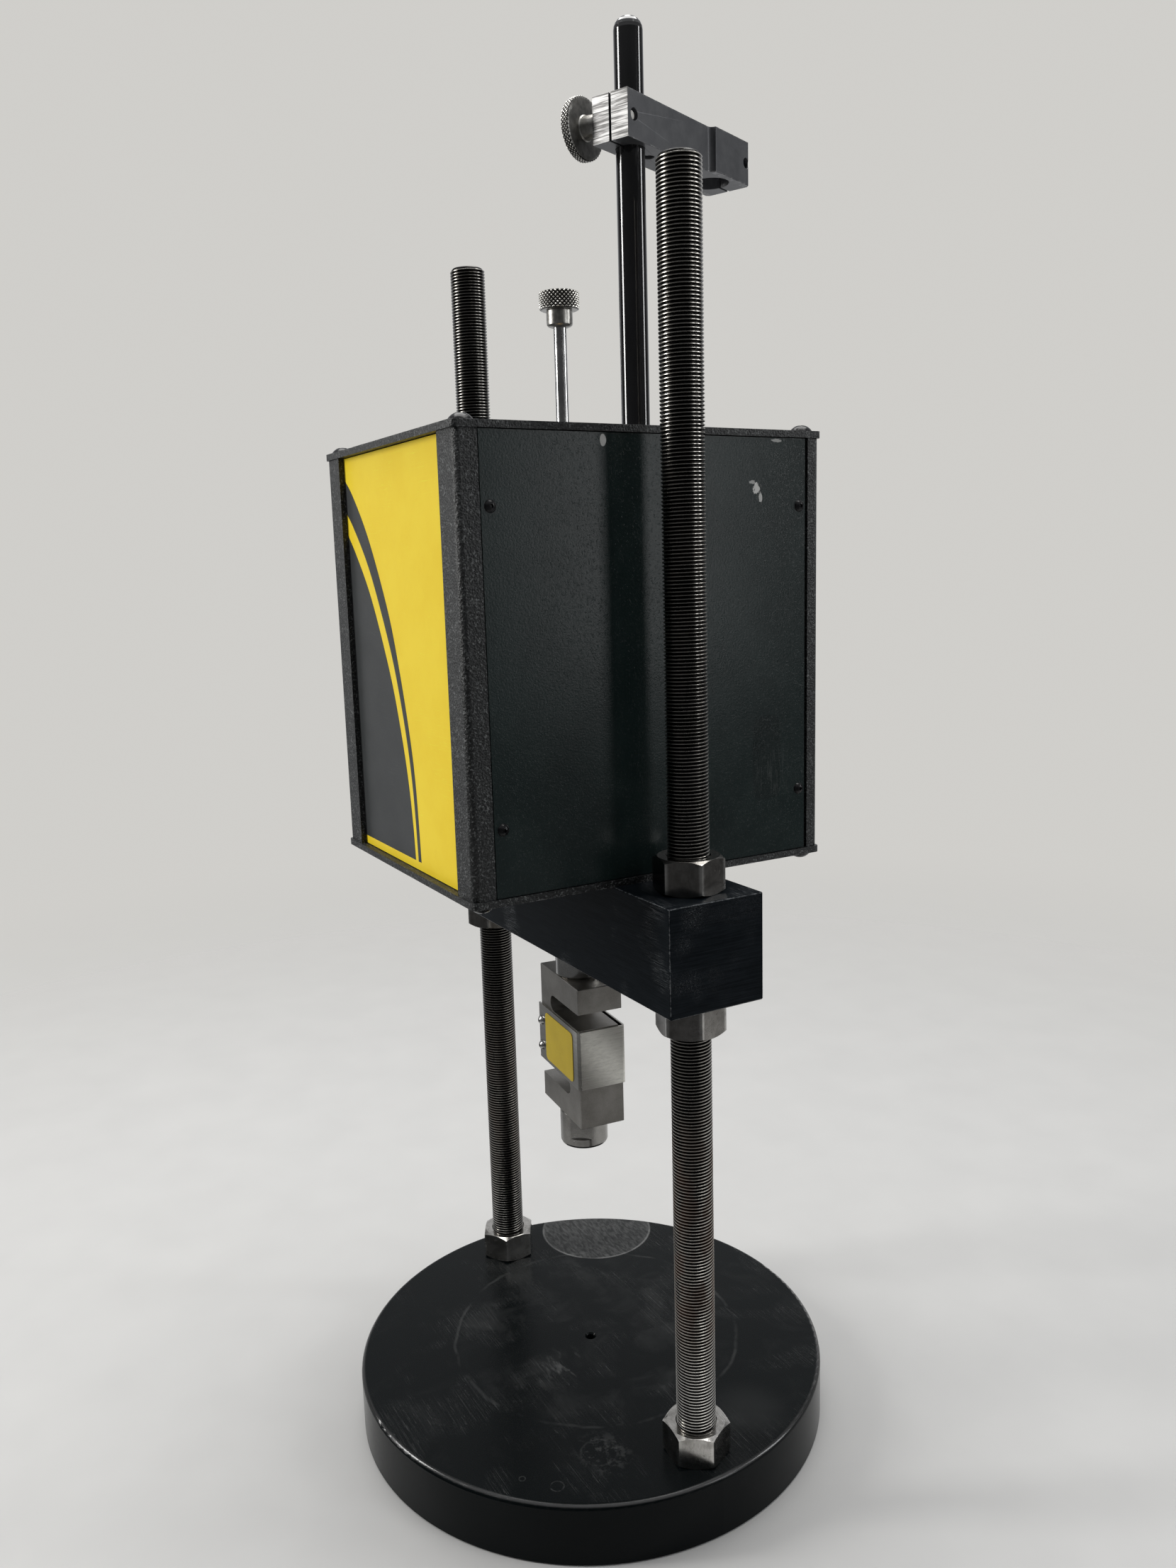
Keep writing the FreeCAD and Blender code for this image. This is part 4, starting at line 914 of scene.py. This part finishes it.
# ------------------------------------------------------------------ floor, light and surroundings
def stage_floor():
    """Pale floor that fades into the background, and sooner for reflections of its near side."""
    size = 1.6
    corners = [(-size, -size, 0), (size, -size, 0), (size, size, 0), (-size, size, 0)]
    mesh = bpy.data.meshes.new("floor")
    mesh.from_pydata(corners, [], [(0, 1, 2, 3)])
    ob = bpy.data.objects.new("floor", mesh)
    bpy.context.scene.collection.objects.link(ob)
    s = Shade("floor_pale", specular=0.35)
    grain = s.noise(0.02, 3.0)
    colour = s.mix(grain, (0.47, 0.468, 0.462), (0.52, 0.518, 0.51))
    mesh.materials.append(s.done(colour, s.add(0.5, s.mul(grain, 0.1))))
    clear = s.t.nodes.new("ShaderNodeBsdfTransparent")
    fade = s.t.nodes.new("ShaderNodeMixShader")
    out = s.t.nodes["Material Output"]
    far = s.vec("LENGTH", s.mm)
    glossy = s.t.nodes.new("ShaderNodeLightPath").outputs["Is Glossy Ray"]
    mirrored = s.mul(glossy, s.step(far, 210.0, 460.0), s.step(s.y, 240.0, 20.0))
    s.t.links.new(s.most(s.step(far, 350.0, 1400.0), mirrored), fade.inputs[0])
    s.t.links.new(s.p.outputs[0], fade.inputs[1])
    s.t.links.new(clear.outputs[0], fade.inputs[2])
    s.t.links.new(fade.outputs[0], out.inputs["Surface"])


def area_light(name, place, target, size, power, colour=(1, 1, 1)):
    data = bpy.data.lights.new(name, "AREA")
    data.shape = "RECTANGLE"
    data.size, data.size_y = size
    data.energy = power
    data.color = colour
    ob = bpy.data.objects.new(name, data)
    bpy.context.scene.collection.objects.link(ob)
    ob.location = place
    ob.rotation_euler = (Vector(target) - Vector(place)).to_track_quat("-Z", "Y").to_euler()


def surroundings():
    """Plain background for the camera; a pale wall behind, a ceiling and a dim room for everything else."""
    world = bpy.data.worlds.new("studio")
    bpy.context.scene.world = world
    world.use_nodes = True
    t = world.node_tree
    t.nodes.clear()
    g = Graph(t)
    out = t.nodes.new("ShaderNodeOutputWorld")
    seen = t.nodes.new("ShaderNodeBackground")
    lit = t.nodes.new("ShaderNodeBackground")
    choose = t.nodes.new("ShaderNodeMixShader")
    path = t.nodes.new("ShaderNodeLightPath")
    way = t.nodes.new("ShaderNodeTexCoord").outputs["Generated"]
    split = t.nodes.new("ShaderNodeSeparateXYZ")
    t.links.new(way, split.inputs[0])
    # how strongly the wall behind, the ceiling and the ground light the object
    wall_way = (-0.8727, 0.4882, 0.0)
    wall = g.step(g.vec("DOT_PRODUCT", way, wall_way), 0.42, 0.95, 0.0, 0.60)
    ceiling = g.step(split.outputs[2], 0.25, 0.9, 0.0, 0.55)
    ground = g.step(split.outputs[2], -0.02, -0.5, 0.0, 0.06)
    t.links.new(g.add(0.055, g.most(wall, ceiling, ground)), lit.inputs[1])
    lit.inputs[0].default_value = (0.97, 0.98, 1.0, 1)
    seen.inputs[0].default_value = (0.63, 0.62, 0.595, 1)
    t.links.new(path.outputs["Is Camera Ray"], choose.inputs[0])
    t.links.new(lit.outputs[0], choose.inputs[1])
    t.links.new(seen.outputs[0], choose.inputs[2])
    t.links.new(choose.outputs[0], out.inputs[0])


aim_camera()
stage_floor()
surroundings()
area_light("overhead", (-0.25, 0.2, 1.9), (0, 0, 0.2), (1.5, 1.1), 27.0, (1.0, 0.99, 0.97))
area_light("front_left", (-0.72, -1.46, 0.95), (0, 0, 0.35), (0.3, 1.2), 20.0, (1.0, 0.99, 0.97))
area_light("right", (0.9, 1.45, 0.9), (0, 0, 0.35), (0.25, 1.1), 6.0, (0.98, 0.99, 1.0))
area_light("right_front", (1.5, 0.86, 0.8), (0, 0, 0.35), (0.3, 1.2), 3.2, (0.98, 0.99, 1.0))
bpy.context.scene.view_settings.view_transform = "Standard"

bpy.context.view_layer.update()
